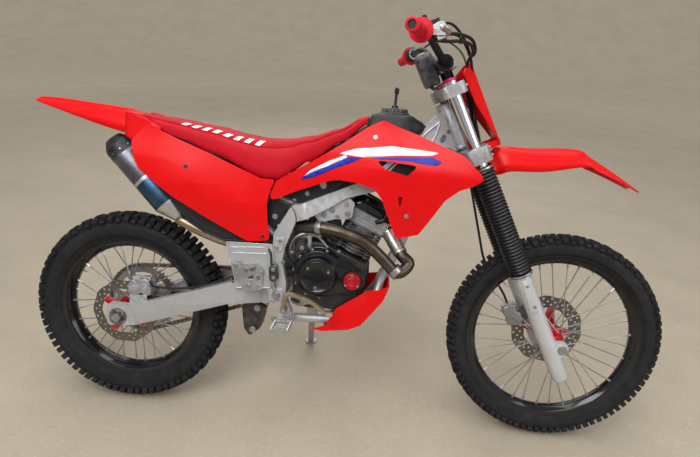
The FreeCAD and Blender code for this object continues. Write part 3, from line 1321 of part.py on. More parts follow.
def gaiters():
    """Rubber boots over the tubes, ribbed."""
    steps = int(size.fork_ribs)
    pitch = (size.fork_gaiter_high - size.fork_gaiter_low) / steps
    inner = size.fork_tube_radius / math.cos(math.pi / size.fork_gaiter_sides)
    points = [(inner, size.fork_gaiter_high), (inner, size.fork_gaiter_low)]
    for i in range(steps):
        points.append((size.fork_gaiter_neck, size.fork_gaiter_low + pitch * i))
        points.append((size.fork_gaiter_radius, size.fork_gaiter_low + pitch * (i + 0.5)))
    points.append((size.fork_gaiter_neck, size.fork_gaiter_high))
    boot = faceted("gaiter_body", points, int(size.fork_gaiter_sides))
    boot.Placement = Placement(leg(0), Rotation(along_x, 90))
    return pair("gaiter_pair", boot)


def sliders():
    """Lower legs with a lug in front for the axle."""
    outer = rod("slider_tube", leg(size.fork_slider_low), leg(size.fork_gaiter_low), "sizes.fork_slider_radius")
    lug = slab("slider_lug", [(leg_x, -size.fork_lug_height / 2), (size.steer_axle_lead, -size.fork_lug_width / 2),
                              (size.steer_axle_lead + size.fork_lug_width / 2, 0),
                              (size.steer_axle_lead, size.fork_lug_width / 2),
                              (leg_x, size.fork_lug_height)], "side", -leg_y - size.fork_lug_width / 2,
               "sizes.fork_lug_width", 6)
    solid = fuse("slider_joined", [outer, lug])
    bore = rod("slider_bore", Vector(size.steer_axle_lead, -2 * leg_y, 0), Vector(size.steer_axle_lead, 0, 0),
               "sizes.front_axle_radius")
    return pair("slider_pair", cut("slider_bored", solid, bore))


def front_axle_bar():
    half = size.front_axle_length / 2
    low = Vector(size.steer_axle_lead, -half, 0)
    high = Vector(size.steer_axle_lead, half, 0)
    inner = leg_y - size.fork_lug_width / 2
    spacer = rod("axle_spacer", low + along_y * (half - inner), low + along_y * (half - size.front_hub_right
                                                                                - size.bike_seat_gap),
                 "sizes.front_axle_head_radius")
    spacer_left = rod("axle_spacer_left", low + along_y * (half + size.front_hub_left + size.wheel_disc_thickness
                                                          + 2 * size.bike_seat_gap),
                      low + along_y * (half + inner), "sizes.front_axle_head_radius")
    solid = fuse("front_axle_joined", [rod("front_axle_tube", low, high, "sizes.front_axle_radius"), spacer,
                                       spacer_left])
    return cut("front_axle_bored", solid, rod("front_axle_hole", low - along_y, high + along_y,
                                              "sizes.front_axle_hole_radius"))


keep("fork_clamps", clamps(), on_fork)
keep("fork_tubes", fork_tubes(), on_fork)
keep("fork_gaiters", gaiters(), on_fork)
keep("fork_sliders", sliders(), on_fork)
keep("front_axle", front_axle_bar(), on_fork)


# Handlebar and its controls

bar_points = [Vector(size.bar_sweep, -size.bar_grip_end, size.bar_rise),
              Vector(size.bar_shoulder_x, -size.bar_shoulder_y, size.bar_shoulder_z),
              Vector(size.bar_middle_x, -size.bar_bend_y, size.bar_middle_z)]
bar_points += [Vector(point.x, -point.y, point.z) for point in reversed(bar_points)]


def handlebar():
    tube = bent_tube("bar_tube", bar_points, size.bar_bend, "sizes.bar_radius")
    items = [tube]
    for side in (-1, 1):
        y = side * size.bar_riser_y
        items.append(rod("riser_%d" % (side + 1), Vector(size.bar_middle_x, y, size.clamp_top_high),
                         Vector(size.bar_middle_x, y, size.bar_middle_z), "sizes.bar_riser_radius"))
    half = size.bar_pad_length / 2
    middle = Vector(size.bar_middle_x, 0, size.bar_middle_z + size.bar_pad_radius / 2)
    items.append(rod("bar_pad", middle - along_y * half, middle + along_y * half, "sizes.bar_pad_radius"))
    return fuse("bar_joined", items)


grip_line = (bar_points[0] - bar_points[1]).normalize()
grip_inner = bar_points[1] + grip_line * (size.bar_grip_start - size.bar_shoulder_y)


def grips():
    outer = rod("grip_sleeve", grip_inner, bar_points[0] + grip_line * size.grip_flange_length,
                "sizes.grip_radius")
    flange = rod("grip_flange", grip_inner, grip_inner + grip_line * size.grip_flange_length,
                 "sizes.grip_flange_radius")
    solid = fuse("grip_joined", [outer, flange])
    bore = rod("grip_bore", grip_inner - grip_line, bar_points[0], "sizes.bar_radius")
    return pair("grip_pair", cut("grip_bored", solid, bore))


def bar_controls():
    """Throttle and switch housings with their levers, and the brake's reservoir."""
    outer = grip_inner - grip_line * size.bike_seat_gap
    inner = outer - grip_line * size.controls_housing_length
    housing = rod("housing", inner, outer, "sizes.controls_housing_radius")
    out = Vector(size.controls_lever_reach, 0, -size.controls_lever_drop)
    middle = (inner + outer) * 0.5
    knee = outer + out
    lever = fuse("lever_joined", [rod("lever_root", middle, knee, "sizes.controls_lever_radius"),
                                  rod("lever_blade", knee, knee + grip_line * size.controls_lever_length,
                                      "sizes.controls_lever_radius")])
    reservoir = box("reservoir", inner + Vector(-size.controls_reservoir_width / 2, 0,
                                                size.controls_housing_radius / 2),
                    "sizes.controls_reservoir_width", "sizes.controls_reservoir_length",
                    "sizes.controls_reservoir_height")
    solid = fuse("controls_joined", [housing, lever, reservoir])
    bore = rod("controls_bore", inner - grip_line * size.controls_reservoir_length, outer + grip_line,
               "sizes.bar_radius")
    return pair("controls_pair", cut("controls_bored", solid, bore))


keep("handlebar", handlebar(), on_fork)
keep("grips", grips(), on_fork)
keep("bar_controls", bar_controls(), on_fork)

# Stations of the front fender: shares of its length, height, half width and drop
FRONT_FENDER_STATIONS = [(0.0, 0.963, 0.758, 0.447), (0.13, 0.963, 0.788, 0.789), (0.225, 1.0, 0.97, 1.0),
                         (0.44, 0.838, 1.0, 0.921), (0.704, 0.658, 0.97, 0.684), (0.773, 0.525, 0.909, 0.579),
                         (0.898, 0.245, 0.788, 0.316), (1.0, 0.0, 0.64, 0.1)]


def front_fender():
    places = Frame("front_fender").side([(along, up) for along, up, wide, drop in FRONT_FENDER_STATIONS])
    return arched("front_fender", [place + (wide, drop) for place, (along, up, wide, drop)
                                   in zip(places, FRONT_FENDER_STATIONS)])


PLATE_FRONT_SHARES = [(-0.45, 0.0), (0.45, 0.0), (0.95, 0.55), (1.0, 0.92), (0.55, 1.0), (-0.55, 1.0), (-1.0, 0.92),
                      (-0.95, 0.55)]


def number_plate():
    item = Frame("plate")
    half = size.plate_half_width
    bow = [(item.x, -half), (item.x + item.length, -half / 2), (item.x + item.length, half / 2), (item.x, half),
           (item.x - size.plate_wall, half), (item.x + item.length - size.plate_wall, half / 2),
           (item.x + item.length - size.plate_wall, -half / 2), (item.x - size.plate_wall, -half)]
    plan = slab("plate_plan", bow, "plan", item.z, "sizes.plate_height")
    face = [(across * half, item.z + up * item.height) for across, up in PLATE_FRONT_SHARES]
    front = slab("plate_face", face, "front", item.x - size.bike_overrun, item.length + 2 * size.bike_overrun)
    tab_end = item.x + item.length - size.plate_wall / 2
    tab = box("plate_tab", Vector(size.plate_tab_x, -size.plate_tab_y - size.plate_tab_width / 2, item.z),
              tab_end - size.plate_tab_x, "sizes.plate_tab_width", "sizes.plate_tab_height")
    return fuse("plate_body", [common("plate_shaped", plan, front), tab, mirrored("plate_tab_left", tab)])


def front_caliper():
    """The block behind the left slider that straddles the disc, with its mount beside the slider."""
    end_x = leg_x - size.fork_slider_radius - size.bike_seat_gap
    corner = Vector(end_x - size.front_caliper_length, size.front_disc_y - size.front_caliper_width / 2,
                    size.front_caliper_z)
    block = box("front_caliper_block", corner, "sizes.front_caliper_length", "sizes.front_caliper_width",
                "sizes.front_caliper_height")
    mount = box("front_caliper_mount", Vector(end_x - size.front_caliper_mount_length,
                                              corner.y + size.front_caliper_width, size.front_caliper_z
                                              + size.front_caliper_mount_height / 2),
                "sizes.front_caliper_mount_length", "sizes.front_caliper_mount_width",
                "sizes.front_caliper_mount_height")
    slot = box("front_caliper_slot_cut", corner + Vector(size.front_caliper_wall,
                                                         (size.front_caliper_width - size.front_caliper_slot) / 2,
                                                         -size.bike_overrun), "sizes.front_caliper_length",
               "sizes.front_caliper_slot", "sizes.front_caliper_height + sizes.bike_overrun"
                                           " - sizes.front_caliper_wall")
    return cut("front_caliper_body", fuse("front_caliper_joined", [block, mount]), slot)


HOSE_SHARES = [(0.0, 0.72, 0.0), (0.0, 0.72, 0.06), (-0.35, 1.0, 0.33), (0.47, 0.72, 0.85), (0.47, 0.72, 1.0)]


def brake_hose():
    """The hose from the caliper up behind the left leg to the lower clamp."""
    low = size.front_caliper_z + size.front_caliper_height + size.bike_seat_gap
    rise = size.clamp_low - size.bike_seat_gap - low
    start = leg_x - size.fork_slider_radius - size.front_caliper_length / 2
    points = [Vector(start + along * size.front_caliper_length, across * size.hose_y, low + up * rise)
              for along, across, up in HOSE_SHARES]
    return bent_tube("hose_tube", points, size.hose_bend, "sizes.hose_radius")


keep("front_fender", front_fender(), on_fork)
keep("number_plate", number_plate(), on_fork)
keep("front_caliper", front_caliper(), on_fork)
keep("brake_hose", brake_hose(), on_fork)


# Checks, then one file for each sub-part

doc.recompute()
for item in doc.Objects:
    if "Invalid" in item.State or "Error" in item.State:
        raise RuntimeError("%s failed: %s" % (item.Name, item.State))
for item in nodes:
    if item.Shape.isNull() or not item.Shape.isValid() or not item.Shape.Solids:
        raise RuntimeError("%s has no valid solid" % item.Label)

os.makedirs("parts", exist_ok=True)
for item in nodes:
    item.Shape.exportStep(os.path.join("parts", item.Label + ".step"))
    print(item.Label, len(item.Shape.Solids), round(item.Shape.Volume))
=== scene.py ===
import bmesh
import bpy
import json
import math
from mathutils import Matrix, Vector


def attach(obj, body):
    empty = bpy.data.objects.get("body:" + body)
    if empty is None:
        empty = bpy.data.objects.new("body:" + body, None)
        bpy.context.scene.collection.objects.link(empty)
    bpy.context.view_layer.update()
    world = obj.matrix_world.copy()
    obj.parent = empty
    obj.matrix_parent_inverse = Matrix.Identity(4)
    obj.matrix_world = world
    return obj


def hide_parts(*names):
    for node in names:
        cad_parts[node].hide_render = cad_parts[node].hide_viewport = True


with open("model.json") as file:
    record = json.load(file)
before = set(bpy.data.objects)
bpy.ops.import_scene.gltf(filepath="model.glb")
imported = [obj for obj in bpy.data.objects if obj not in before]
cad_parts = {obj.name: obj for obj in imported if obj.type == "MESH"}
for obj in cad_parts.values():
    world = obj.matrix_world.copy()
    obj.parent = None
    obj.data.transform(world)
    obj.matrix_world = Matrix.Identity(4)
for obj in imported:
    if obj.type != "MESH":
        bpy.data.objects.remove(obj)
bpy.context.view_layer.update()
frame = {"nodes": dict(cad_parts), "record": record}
bodyOf = {node: body for body, nodes in frame["record"]["behaviour"]["bodies"].items() for node in nodes}
slotOf = {part["node"]: part["material_slot"] for part in frame["record"]["subparts"]}
print("frame loaded:", len(bodyOf), "nodes")

millimetre = 0.001
weldReach = 0.00002

# The bike is drawn upright in millimetres, rear axle above the origin, and stood in its lean by these placements.
stance = {"lean": 11.1, "rake": 26.5, "originForward": 721, "originLeft": 238, "lift": 3.711,
          "rearAxle": (0, 0, 330), "steerOrigin": (1376.137, 0, 321.930), "axleLead": 54.6,
          "cylinderFoot": (744, 0, 590), "cylinderTilt": 24, "legX": 21.6, "legY": 99}

onBike = (Matrix.Scale(millimetre, 4)
          @ Matrix.Translation((-stance["originForward"], -stance["originLeft"], stance["lift"]))
          @ Matrix.Rotation(-math.radians(stance["lean"]), 4, "X"))
onFork = onBike @ Matrix.Translation(stance["steerOrigin"]) @ Matrix.Rotation(-math.radians(stance["rake"]), 4, "Y")
onRearWheel = onBike @ Matrix.Translation(stance["rearAxle"])
onFrontWheel = onFork @ Matrix.Translation((stance["axleLead"], 0, 0))
onCylinder = (onBike @ Matrix.Translation(stance["cylinderFoot"])
              @ Matrix.Rotation(math.radians(stance["cylinderTilt"]), 4, "Y"))


# Camera at the photograph's place, floor and lamps

shot = {"place": (824.8, -1458.5, 1327.5), "yaw": 0.058, "pitch": 0.404, "roll": 0.054, "lens": 27.08}


def placeCamera():
    yaw, pitch, roll = shot["yaw"], shot["pitch"], shot["roll"]
    look = Vector((-math.sin(yaw) * math.cos(pitch), math.cos(yaw) * math.cos(pitch), -math.sin(pitch)))
    right = look.cross(Vector((0, 0, 1))).normalized()
    up = right.cross(look)
    rolledRight = right * math.cos(roll) + up * math.sin(roll)
    rolledUp = up * math.cos(roll) - right * math.sin(roll)
    turn = Matrix((rolledRight, rolledUp, -look)).transposed().to_4x4()
    x, y, z = shot["place"]
    place = Vector((x - stance["originForward"], y - stance["originLeft"], z)) * millimetre
    data = bpy.data.cameras.new("photoView")
    data.sensor_width = 36
    data.lens = shot["lens"]
    camera = bpy.data.objects.new("photoView", data)
    camera.matrix_world = Matrix.Translation(place) @ turn
    bpy.context.scene.collection.objects.link(camera)
    bpy.context.scene.camera = camera


studio = {"floorHalf": 30, "sweepStart": 9, "sweepRadius": 6, "floorColour": (0.43, 0.365, 0.275),
          "glow": 0.44, "sandColour": (0.27, 0.235, 0.185), "skyColour": (0.93, 0.95, 1.0),
          "skyStrength": 0.42,
          "lamps": {"keyLamp": ((-0.9, -2.4, 3.2), 2.2, 92), "fillLamp": ((2.6, -1.8, 2.0), 2.0, 30),
                    "backLamp": ((-0.4, 3.0, 2.8), 3.0, 42), "topLamp": ((0.2, 0.2, 4.2), 3.0, 70)}}


def lightStudio():
    scene = bpy.context.scene
    scene.view_settings.view_transform = "Standard"
    world = bpy.data.worlds.new("studioAir")
    world.use_nodes = True
    air = world.node_tree.nodes["Background"]
    air.inputs["Color"].default_value = (*studio["skyColour"], 1)
    air.inputs["Strength"].default_value = studio["skyStrength"]
    scene.world = world
    for name, (place, width, watts) in studio["lamps"].items():
        lamp = bpy.data.lights.new(name, "AREA")
        lamp.size = width
        lamp.energy = watts
        lampObject = bpy.data.objects.new(name, lamp)
        lampObject.location = place
        lampObject.rotation_euler = (-Vector(place)).to_track_quat("-Z", "Y").to_euler()
        scene.collection.objects.link(lampObject)


# Node-made finishes. Noise and wear are measured in metres on the object.

class Finish:
    # A material with a principled shader, and short calls for the nodes in front of it.
    def __init__(self, name):
        self.material = bpy.data.materials.new(name)
        self.material.use_nodes = True
        self.tree = self.material.node_tree
        self.shader = self.tree.nodes["Principled BSDF"]
        self.place = self.tree.nodes.new("ShaderNodeTexCoord").outputs["Object"]

    def node(self, kind, **settings):
        made = self.tree.nodes.new(kind)
        for key, value in settings.items():
            setattr(made, key, value)
        return made

    def join(self, source, target):
        self.tree.links.new(source, target)

    def noise(self, scale, detail=3, stretch=None, roughness=0.55):
        made = self.node("ShaderNodeTexNoise")
        made.inputs["Scale"].default_value = scale
        made.inputs["Detail"].default_value = detail
        made.inputs["Roughness"].default_value = roughness
        source = self.place
        if stretch:
            mapping = self.node("ShaderNodeMapping")
            mapping.inputs["Scale"].default_value = stretch
            self.join(self.place, mapping.inputs["Vector"])
            source = mapping.outputs["Vector"]
        self.join(source, made.inputs["Vector"])
        return made.outputs["Fac"]

    def ramp(self, source, stops):
        made = self.node("ShaderNodeValToRGB")
        elements = made.color_ramp.elements
        while len(elements) < len(stops):
            elements.new(0.5)
        for element, (position, colour) in zip(elements, stops):
            element.position = position
            element.color = (*colour, 1)
        self.join(source, made.inputs["Fac"])
        return made.outputs["Color"]

    def spread(self, source, low, high, fromLow=0.0, fromHigh=1.0):
        made = self.node("ShaderNodeMapRange")
        for key, value in (("From Min", fromLow), ("From Max", fromHigh), ("To Min", low), ("To Max", high)):
            made.inputs[key].default_value = value
        self.join(source, made.inputs["Value"])
        return made.outputs["Result"]

    def mix(self, share, first, second):
        made = self.node("ShaderNodeMix", data_type="RGBA")
        self.feed(share, made.inputs["Factor"])
        self.feed(first, made.inputs["A"])
        self.feed(second, made.inputs["B"])
        return made.outputs["Result"]

    def math(self, operation, first, second):
        made = self.node("ShaderNodeMath", operation=operation)
        self.feed(first, made.inputs[0])
        self.feed(second, made.inputs[1])
        return made.outputs[0]

    def feed(self, value, socket):
        if isinstance(value, (int, float)):
            socket.default_value = value
        elif isinstance(value, tuple):
            socket.default_value = (*value, 1)
        else:
            self.join(value, socket)

    def bump(self, height, distance, under=None):
        made = self.node("ShaderNodeBump")
        made.inputs["Distance"].default_value = distance
        self.join(height, made.inputs["Height"])
        if under:
            self.join(under, made.inputs["Normal"])
        return made.outputs["Normal"]

    def edges(self):
        return self.spread(self.node("ShaderNodeNewGeometry").outputs["Pointiness"], 0, 1, 0.52, 0.6)


def shaded(colour, amount):
    return tuple(min(1.0, part * amount) for part in colour)


def plainFinish(name, look):
    # Mottled colour, roughness and grain; worn edges and scratches where the look asks for them.
    made = Finish(name)
    colour = look["colour"]
    mottle = made.noise(look.get("mottleScale", 14), 4)
    shade = look.get("mottle", 0.12)
    base = made.ramp(mottle, [(0.3, shaded(colour, 1 - shade)), (0.7, shaded(colour, 1 + shade))])
    if "wearColour" in look:
        worn = made.math("MULTIPLY", made.edges(), made.spread(made.noise(60, 4), 0, 1, 0.35, 0.6))
        base = made.mix(worn, base, look["wearColour"])
    if "dirtColour" in look:
        dirt = made.spread(made.noise(9, 6, roughness=0.7), 0, look["dirt"], 0.45, 0.75)
        base = made.mix(dirt, base, look["dirtColour"])
    made.join(base, made.shader.inputs["Base Color"])
    low, high = look["roughness"]
    made.join(made.spread(made.noise(45, 5), low, high, 0.3, 0.7), made.shader.inputs["Roughness"])
    made.shader.inputs["Metallic"].default_value = look.get("metallic", 0)
    made.shader.inputs["Specular IOR Level"].default_value = look.get("specular", 0.5)
    if "coat" in look:
        made.shader.inputs["Coat Weight"].default_value = look["coat"]
        made.shader.inputs["Coat Roughness"].default_value = 0.08
    normal = made.bump(made.noise(look.get("grainScale", 900), 3), look.get("grain", 0.0002))
    if "scratch" in look:
        lines = made.noise(look.get("scratchScale", 30), 4, stretch=(1, 14, 14))
        normal = made.bump(made.spread(lines, 0, 1, 0.4, 0.6), look["scratch"], under=normal)
    made.join(normal, made.shader.inputs["Normal"])
    return made


looks = {
    "redPlastic": {"colour": (0.70, 0.003, 0.0045), "roughness": (0.28, 0.42), "mottle": 0.04, "grain": 0.00003,
                   "grainScale": 1400, "coat": 0.06, "specular": 0.17},
    "seatTop": {"colour": (0.44, 0.002, 0.010), "roughness": (0.5, 0.7), "mottle": 0.10, "mottleScale": 30,
                "grain": 0.0005, "grainScale": 700, "specular": 0.2},
    "seatSide": {"colour": (0.52, 0.002, 0.012), "roughness": (0.45, 0.62), "mottle": 0.07, "mottleScale": 26,
                 "grain": 0.0003, "grainScale": 620, "specular": 0.2},
    "whiteMark": {"colour": (0.82, 0.82, 0.83), "roughness": (0.35, 0.5), "mottle": 0.03, "grain": 0.00005},
    "blueMark": {"colour": (0.012, 0.022, 0.36), "roughness": (0.3, 0.45), "mottle": 0.05, "grain": 0.00005,
                 "specular": 0.25},
    "blackPlastic": {"colour": (0.012, 0.012, 0.013), "roughness": (0.4, 0.6), "mottle": 0.2, "grain": 0.0002,
                     "specular": 0.35},
    "blackGloss": {"colour": (0.005, 0.005, 0.006), "roughness": (0.08, 0.20), "mottle": 0.2, "grain": 0.00002,
                   "coat": 0.6, "specular": 0.3, "wearColour": (0.02, 0.02, 0.02)},
    "blackSatin": {"colour": (0.011, 0.011, 0.012), "roughness": (0.32, 0.52), "mottle": 0.25, "grain": 0.00015,
                   "specular": 0.35, "wearColour": (0.22, 0.22, 0.22)},
    "tyreRubber": {"colour": (0.011, 0.011, 0.012), "roughness": (0.65, 0.9), "mottle": 0.3, "mottleScale": 40,
                   "grain": 0.0006, "grainScale": 420, "specular": 0.3, "dirt": 0.22,
                   "dirtColour": (0.065, 0.060, 0.053)},
    "softRubber": {"colour": (0.008, 0.008, 0.009), "roughness": (0.34, 0.5), "mottle": 0.3, "grain": 0.0001,
                   "specular": 0.5},
    "gripRubber": {"colour": (0.60, 0.006, 0.018), "roughness": (0.45, 0.62), "mottle": 0.08, "grain": 0.0002,
                   "specular": 0.25},
    "frameMetal": {"colour": (0.48, 0.485, 0.49), "roughness": (0.34, 0.50), "metallic": 0.55, "mottle": 0.05,
                   "mottleScale": 22, "grain": 0.0003, "grainScale": 520, "wearColour": (0.66, 0.66, 0.66),
                   "dirt": 0.25, "dirtColour": (0.24, 0.22, 0.20), "scratch": 0.00006},
    "brushedMetal": {"colour": (0.56, 0.57, 0.58), "roughness": (0.24, 0.42), "metallic": 0.92, "mottle": 0.08,
                     "grain": 0.0001, "scratch": 0.00012, "scratchScale": 90, "wearColour": (0.72, 0.72, 0.72)},
    "castSilver": {"colour": (0.40, 0.40, 0.40), "roughness": (0.38, 0.56), "metallic": 0.75, "mottle": 0.14,
                   "mottleScale": 30, "grain": 0.0005, "grainScale": 420, "wearColour": (0.66, 0.66, 0.66),
                   "dirt": 0.5, "dirtColour": (0.13, 0.115, 0.10)},
    "engineGrey": {"colour": (0.15, 0.148, 0.145), "roughness": (0.42, 0.62), "metallic": 0.8, "mottle": 0.25,
                   "mottleScale": 26, "grain": 0.0006, "grainScale": 380, "wearColour": (0.50, 0.50, 0.50),
                   "dirt": 0.7, "dirtColour": (0.05, 0.042, 0.035)},
    "darkCast": {"colour": (0.060, 0.056, 0.052), "roughness": (0.38, 0.58), "metallic": 0.7, "mottle": 0.3,
                 "mottleScale": 30, "grain": 0.0006, "grainScale": 380, "wearColour": (0.34, 0.33, 0.32),
                 "dirt": 0.6, "dirtColour": (0.028, 0.022, 0.018)},
    "forkPaint": {"colour": (0.56, 0.57, 0.57), "roughness": (0.32, 0.48), "metallic": 0.35, "mottle": 0.05,
                  "grain": 0.0001, "coat": 0.15, "dirt": 0.2, "dirtColour": (0.3, 0.28, 0.25)},
    "chrome": {"colour": (0.76, 0.76, 0.77), "roughness": (0.06, 0.16), "metallic": 1.0, "mottle": 0.03,
               "grain": 0.00002},
    "zincSteel": {"colour": (0.42, 0.42, 0.42), "roughness": (0.26, 0.46), "metallic": 0.95, "mottle": 0.15,
                  "grain": 0.0001, "dirt": 0.4, "dirtColour": (0.16, 0.14, 0.12)},
    "discSteel": {"colour": (0.20, 0.185, 0.17), "roughness": (0.22, 0.40), "metallic": 1.0, "mottle": 0.08,
                  "grain": 0.00008, "scratch": 0.00008, "scratchScale": 120},
    "chainSteel": {"colour": (0.20, 0.18, 0.145), "roughness": (0.35, 0.6), "metallic": 0.9, "mottle": 0.25,
                   "mottleScale": 60, "grain": 0.0002, "dirt": 0.6, "dirtColour": (0.05, 0.042, 0.034)},
    "redMetal": {"colour": (0.56, 0.006, 0.012), "roughness": (0.22, 0.38), "metallic": 0.6, "mottle": 0.06,
                 "grain": 0.00008, "wearColour": (0.62, 0.45, 0.45)},
    "pinkMetal": {"colour": (0.60, 0.02, 0.14), "roughness": (0.25, 0.4), "metallic": 0.8, "mottle": 0.06,
                  "grain": 0.00008},
    "tanPlate": {"colour": (0.36, 0.28, 0.17), "roughness": (0.32, 0.5), "metallic": 0.85, "mottle": 0.2,
                 "grain": 0.00025, "wearColour": (0.66, 0.6, 0.5)},
    "hoseRubber": {"colour": (0.009, 0.009, 0.010), "roughness": (0.35, 0.55), "mottle": 0.2, "grain": 0.0001,
                   "specular": 0.35},
}
finishes = {name: plainFinish(name, look) for name, look in looks.items()}


def heatFinish(name, cool, warm, tint):
    # Steel that the exhaust's heat has tinted in broad bands along the pipe.
    made = Finish(name)
    bands = made.noise(7, 3)
    base = made.ramp(bands, [(0.32, cool), (0.5, warm), (0.66, tint)])
    soot = made.spread(made.noise(40, 6, roughness=0.75), 0, 0.6, 0.5, 0.8)
    made.join(made.mix(soot, base, (0.08, 0.065, 0.05)), made.shader.inputs["Base Color"])
    made.join(made.spread(made.noise(60, 5), 0.25, 0.5, 0.3, 0.7), made.shader.inputs["Roughness"])
    made.shader.inputs["Metallic"].default_value = 0.95
    made.join(made.bump(made.noise(500, 3), 0.0001), made.shader.inputs["Normal"])
    return made


for heatName, cool, warm, tint in (("pipeSteel", (0.13, 0.112, 0.095), (0.09, 0.07, 0.052), (0.17, 0.14, 0.11)),
                                   ("midPipe", (0.40, 0.33, 0.24), (0.33, 0.25, 0.16), (0.44, 0.39, 0.31)),
                                   ("blueSteel", (0.02, 0.06, 0.13), (0.04, 0.10, 0.18), (0.10, 0.13, 0.17)),
                                   ("canSteel", (0.10, 0.10, 0.12), (0.16, 0.16, 0.18), (0.24, 0.24, 0.28)),
                                   ("sleeveSteel", (0.58, 0.56, 0.53), (0.54, 0.50, 0.44), (0.62, 0.61, 0.59))):
    finishes[heatName] = heatFinish(heatName, cool, warm, tint)
print("finishes made:", len(finishes))


# Mesh parts, each a pair of points in millimetres and faces

def turns(count, offset=0):
    # The angles of evenly spaced places round a circle.
    return [2 * math.pi * (i + offset) / count for i in range(count)]


def polar(radius, angle, u=0, v=0):
    return (u + radius * math.cos(angle), v + radius * math.sin(angle))


def around(radius, angle, y=0, x=0, z=0):
    # A place on a circle about the Y axis, or about a line beside it.
    u, v = polar(radius, angle, x, z)
    return (u, y, v)


def onPlane(u, v, level, plane):
    # A flat place in the bike's side view, or in its plan.
    return (u, v, level) if plane == "plan" else (u, level, v)


def joined(parts):
    points, faces = [], []
    for somePoints, someFaces in parts:
        start = len(points)
        points += [tuple(point) for point in somePoints]
        faces += [[i + start for i in face] for face in someFaces]
    return points, faces


def moved(part, matrix):
    return [tuple(matrix @ Vector(point)) for point in part[0]], part[1]


def shifted(part, x, y, z):
    return moved(part, Matrix.Translation((x, y, z)))


def otherSide(part):
    return [(x, -y, z) for x, y, z in part[0]], [face[::-1] for face in part[1]]


def bothSides(*parts):
    part = joined(parts)
    return joined([part, otherSide(part)])


def lathe(profile, segments):
    # A closed profile of (radius, y) turned about the Y axis.
    count = len(profile)
    points = [around(radius, angle, y) for angle in turns(segments) for radius, y in profile]
    faces = []
    for step in range(segments):
        here, there = step * count, (step + 1) % segments * count
        for i in range(count):
            j = (i + 1) % count
            faces.append([here + i, here + j, there + j, there + i])
    return points, faces


def axes(line):
    line = Vector(line).normalized()
    across = line.orthogonal().normalized()
    return line, across, line.cross(across)


def rings(centres, radii, sides):
    # A capped tube through the centres, its rings carried along without twist.
    points, faces = [], []
    across = axes(centres[1] - centres[0])[1]
    for i, centre in enumerate(centres):
        ahead = centres[min(i + 1, len(centres) - 1)] - centres[max(i - 1, 0)]
        ahead.normalize()
        across = (across - ahead * across.dot(ahead)).normalized()
        other = ahead.cross(across)
        for angle in turns(sides):
            points.append(tuple(centre + (across * math.cos(angle) + other * math.sin(angle)) * radii[i]))
    for i in range(len(centres) - 1):
        for step in range(sides):
            a, b = i * sides + step, i * sides + (step + 1) % sides
            faces.append([a, b, b + sides, a + sides])
    faces.append(list(reversed(range(sides))))
    faces.append([len(points) - sides + step for step in range(sides)])
    return points, faces


def bar(start, end, radius, sides=24, endRadius=None):
    return rings([Vector(start), Vector(end)], [radius, endRadius or radius], sides)


def smoothPath(points, steps=8):
    # A curve through all the points.
    places = [Vector(point) for point in points]
    before = places[0] * 2 - places[1]
    after = places[-1] * 2 - places[-2]
    places = [before] + places + [after]
    path = []
    for i in range(1, len(places) - 2):
        a, b, c, d = places[i - 1:i + 3]
        for step in range(steps):
            t = step / steps
            path.append(((b * 2) + (c - a) * t + (a * 2 - b * 5 + c * 4 - d) * t * t
                         + (b * 3 - a - c * 3 + d) * t ** 3) * 0.5)
    path.append(places[-2])
    return path


def tube(points, radius, sides=16, steps=8, endRadius=None):
    path = smoothPath(points, steps)
    last = endRadius or radius
    radii = [radius + (last - radius) * i / (len(path) - 1) for i in range(len(path))]
    return rings(path, radii, sides)


def boltHead(place, direction, radius, height):
    # A six-sided head on its washer.
    place = Vector(place)
    line = Vector(direction).normalized()
    washer = bar(place, place + line * height * 0.3, radius * 1.25, 20)
    head = bar(place + line * height * 0.3, place + line * height, radius, 6)
    return joined([washer, head])


def capScrew(place, direction, radius, height):
    # A round head with a six-sided socket.
    place = Vector(place)
    line, across, other = axes(direction)
    points, faces, sides = [], [], 12
    for reach, up in ((radius, 0), (radius, height), (radius * 0.52, height), (radius * 0.52, height * 0.45)):
        for angle in turns(sides):
            points.append(tuple(place + line * up + (across * math.cos(angle) + other * math.sin(angle)) * reach))
    for i in range(3):
        for step in range(sides):
            a, b = i * sides + step, i * sides + (step + 1) % sides
            faces.append([a, b, b + sides, a + sides])
    faces.append([len(points) - sides + step for step in range(sides)])
    return points, faces


def rounded(outline, radius, steps=4):
    # The closed outline with its corners rounded as far as its sides allow.
    corners = [Vector(point) for point in outline]
    curve = []
    for i, corner in enumerate(corners):
        before = corners[i - 1] - corner
        after = corners[(i + 1) % len(corners)] - corner
        if before.length < 0.001 or after.length < 0.001:
            continue
        turn = before.angle(after)
        if turn > math.pi - 0.02:
            curve.append(tuple(corner))
            continue
        reach = min(radius / math.tan(turn / 2), before.length * 0.48, after.length * 0.48)
        first = corner + before.normalized() * reach
        last = corner + after.normalized() * reach
        for step in range(steps + 1):
            t = step / steps
            curve.append(tuple(first * (1 - t) ** 2 + corner * 2 * t * (1 - t) + last * t * t))
    return curve


def plate(outline, start, thickness, plane="side"):
    # A flat outline, (x, z) on the side or (x, y) on the plan, thickened along the plane's normal.
    count = len(outline)
    points = [onPlane(u, v, level, plane) for level in (start, start + thickness) for u, v in outline]
    faces = [list(range(count)), list(reversed(range(count, 2 * count)))]
    for i in range(count):
        j = (i + 1) % count
        faces.append([i, j, j + count, i + count])
    return points, faces


def block(low, high):
    outline = [(low[0], low[1]), (high[0], low[1]), (high[0], high[1]), (low[0], high[1])]
    return plate(outline, low[2], high[2] - low[2], "plan")


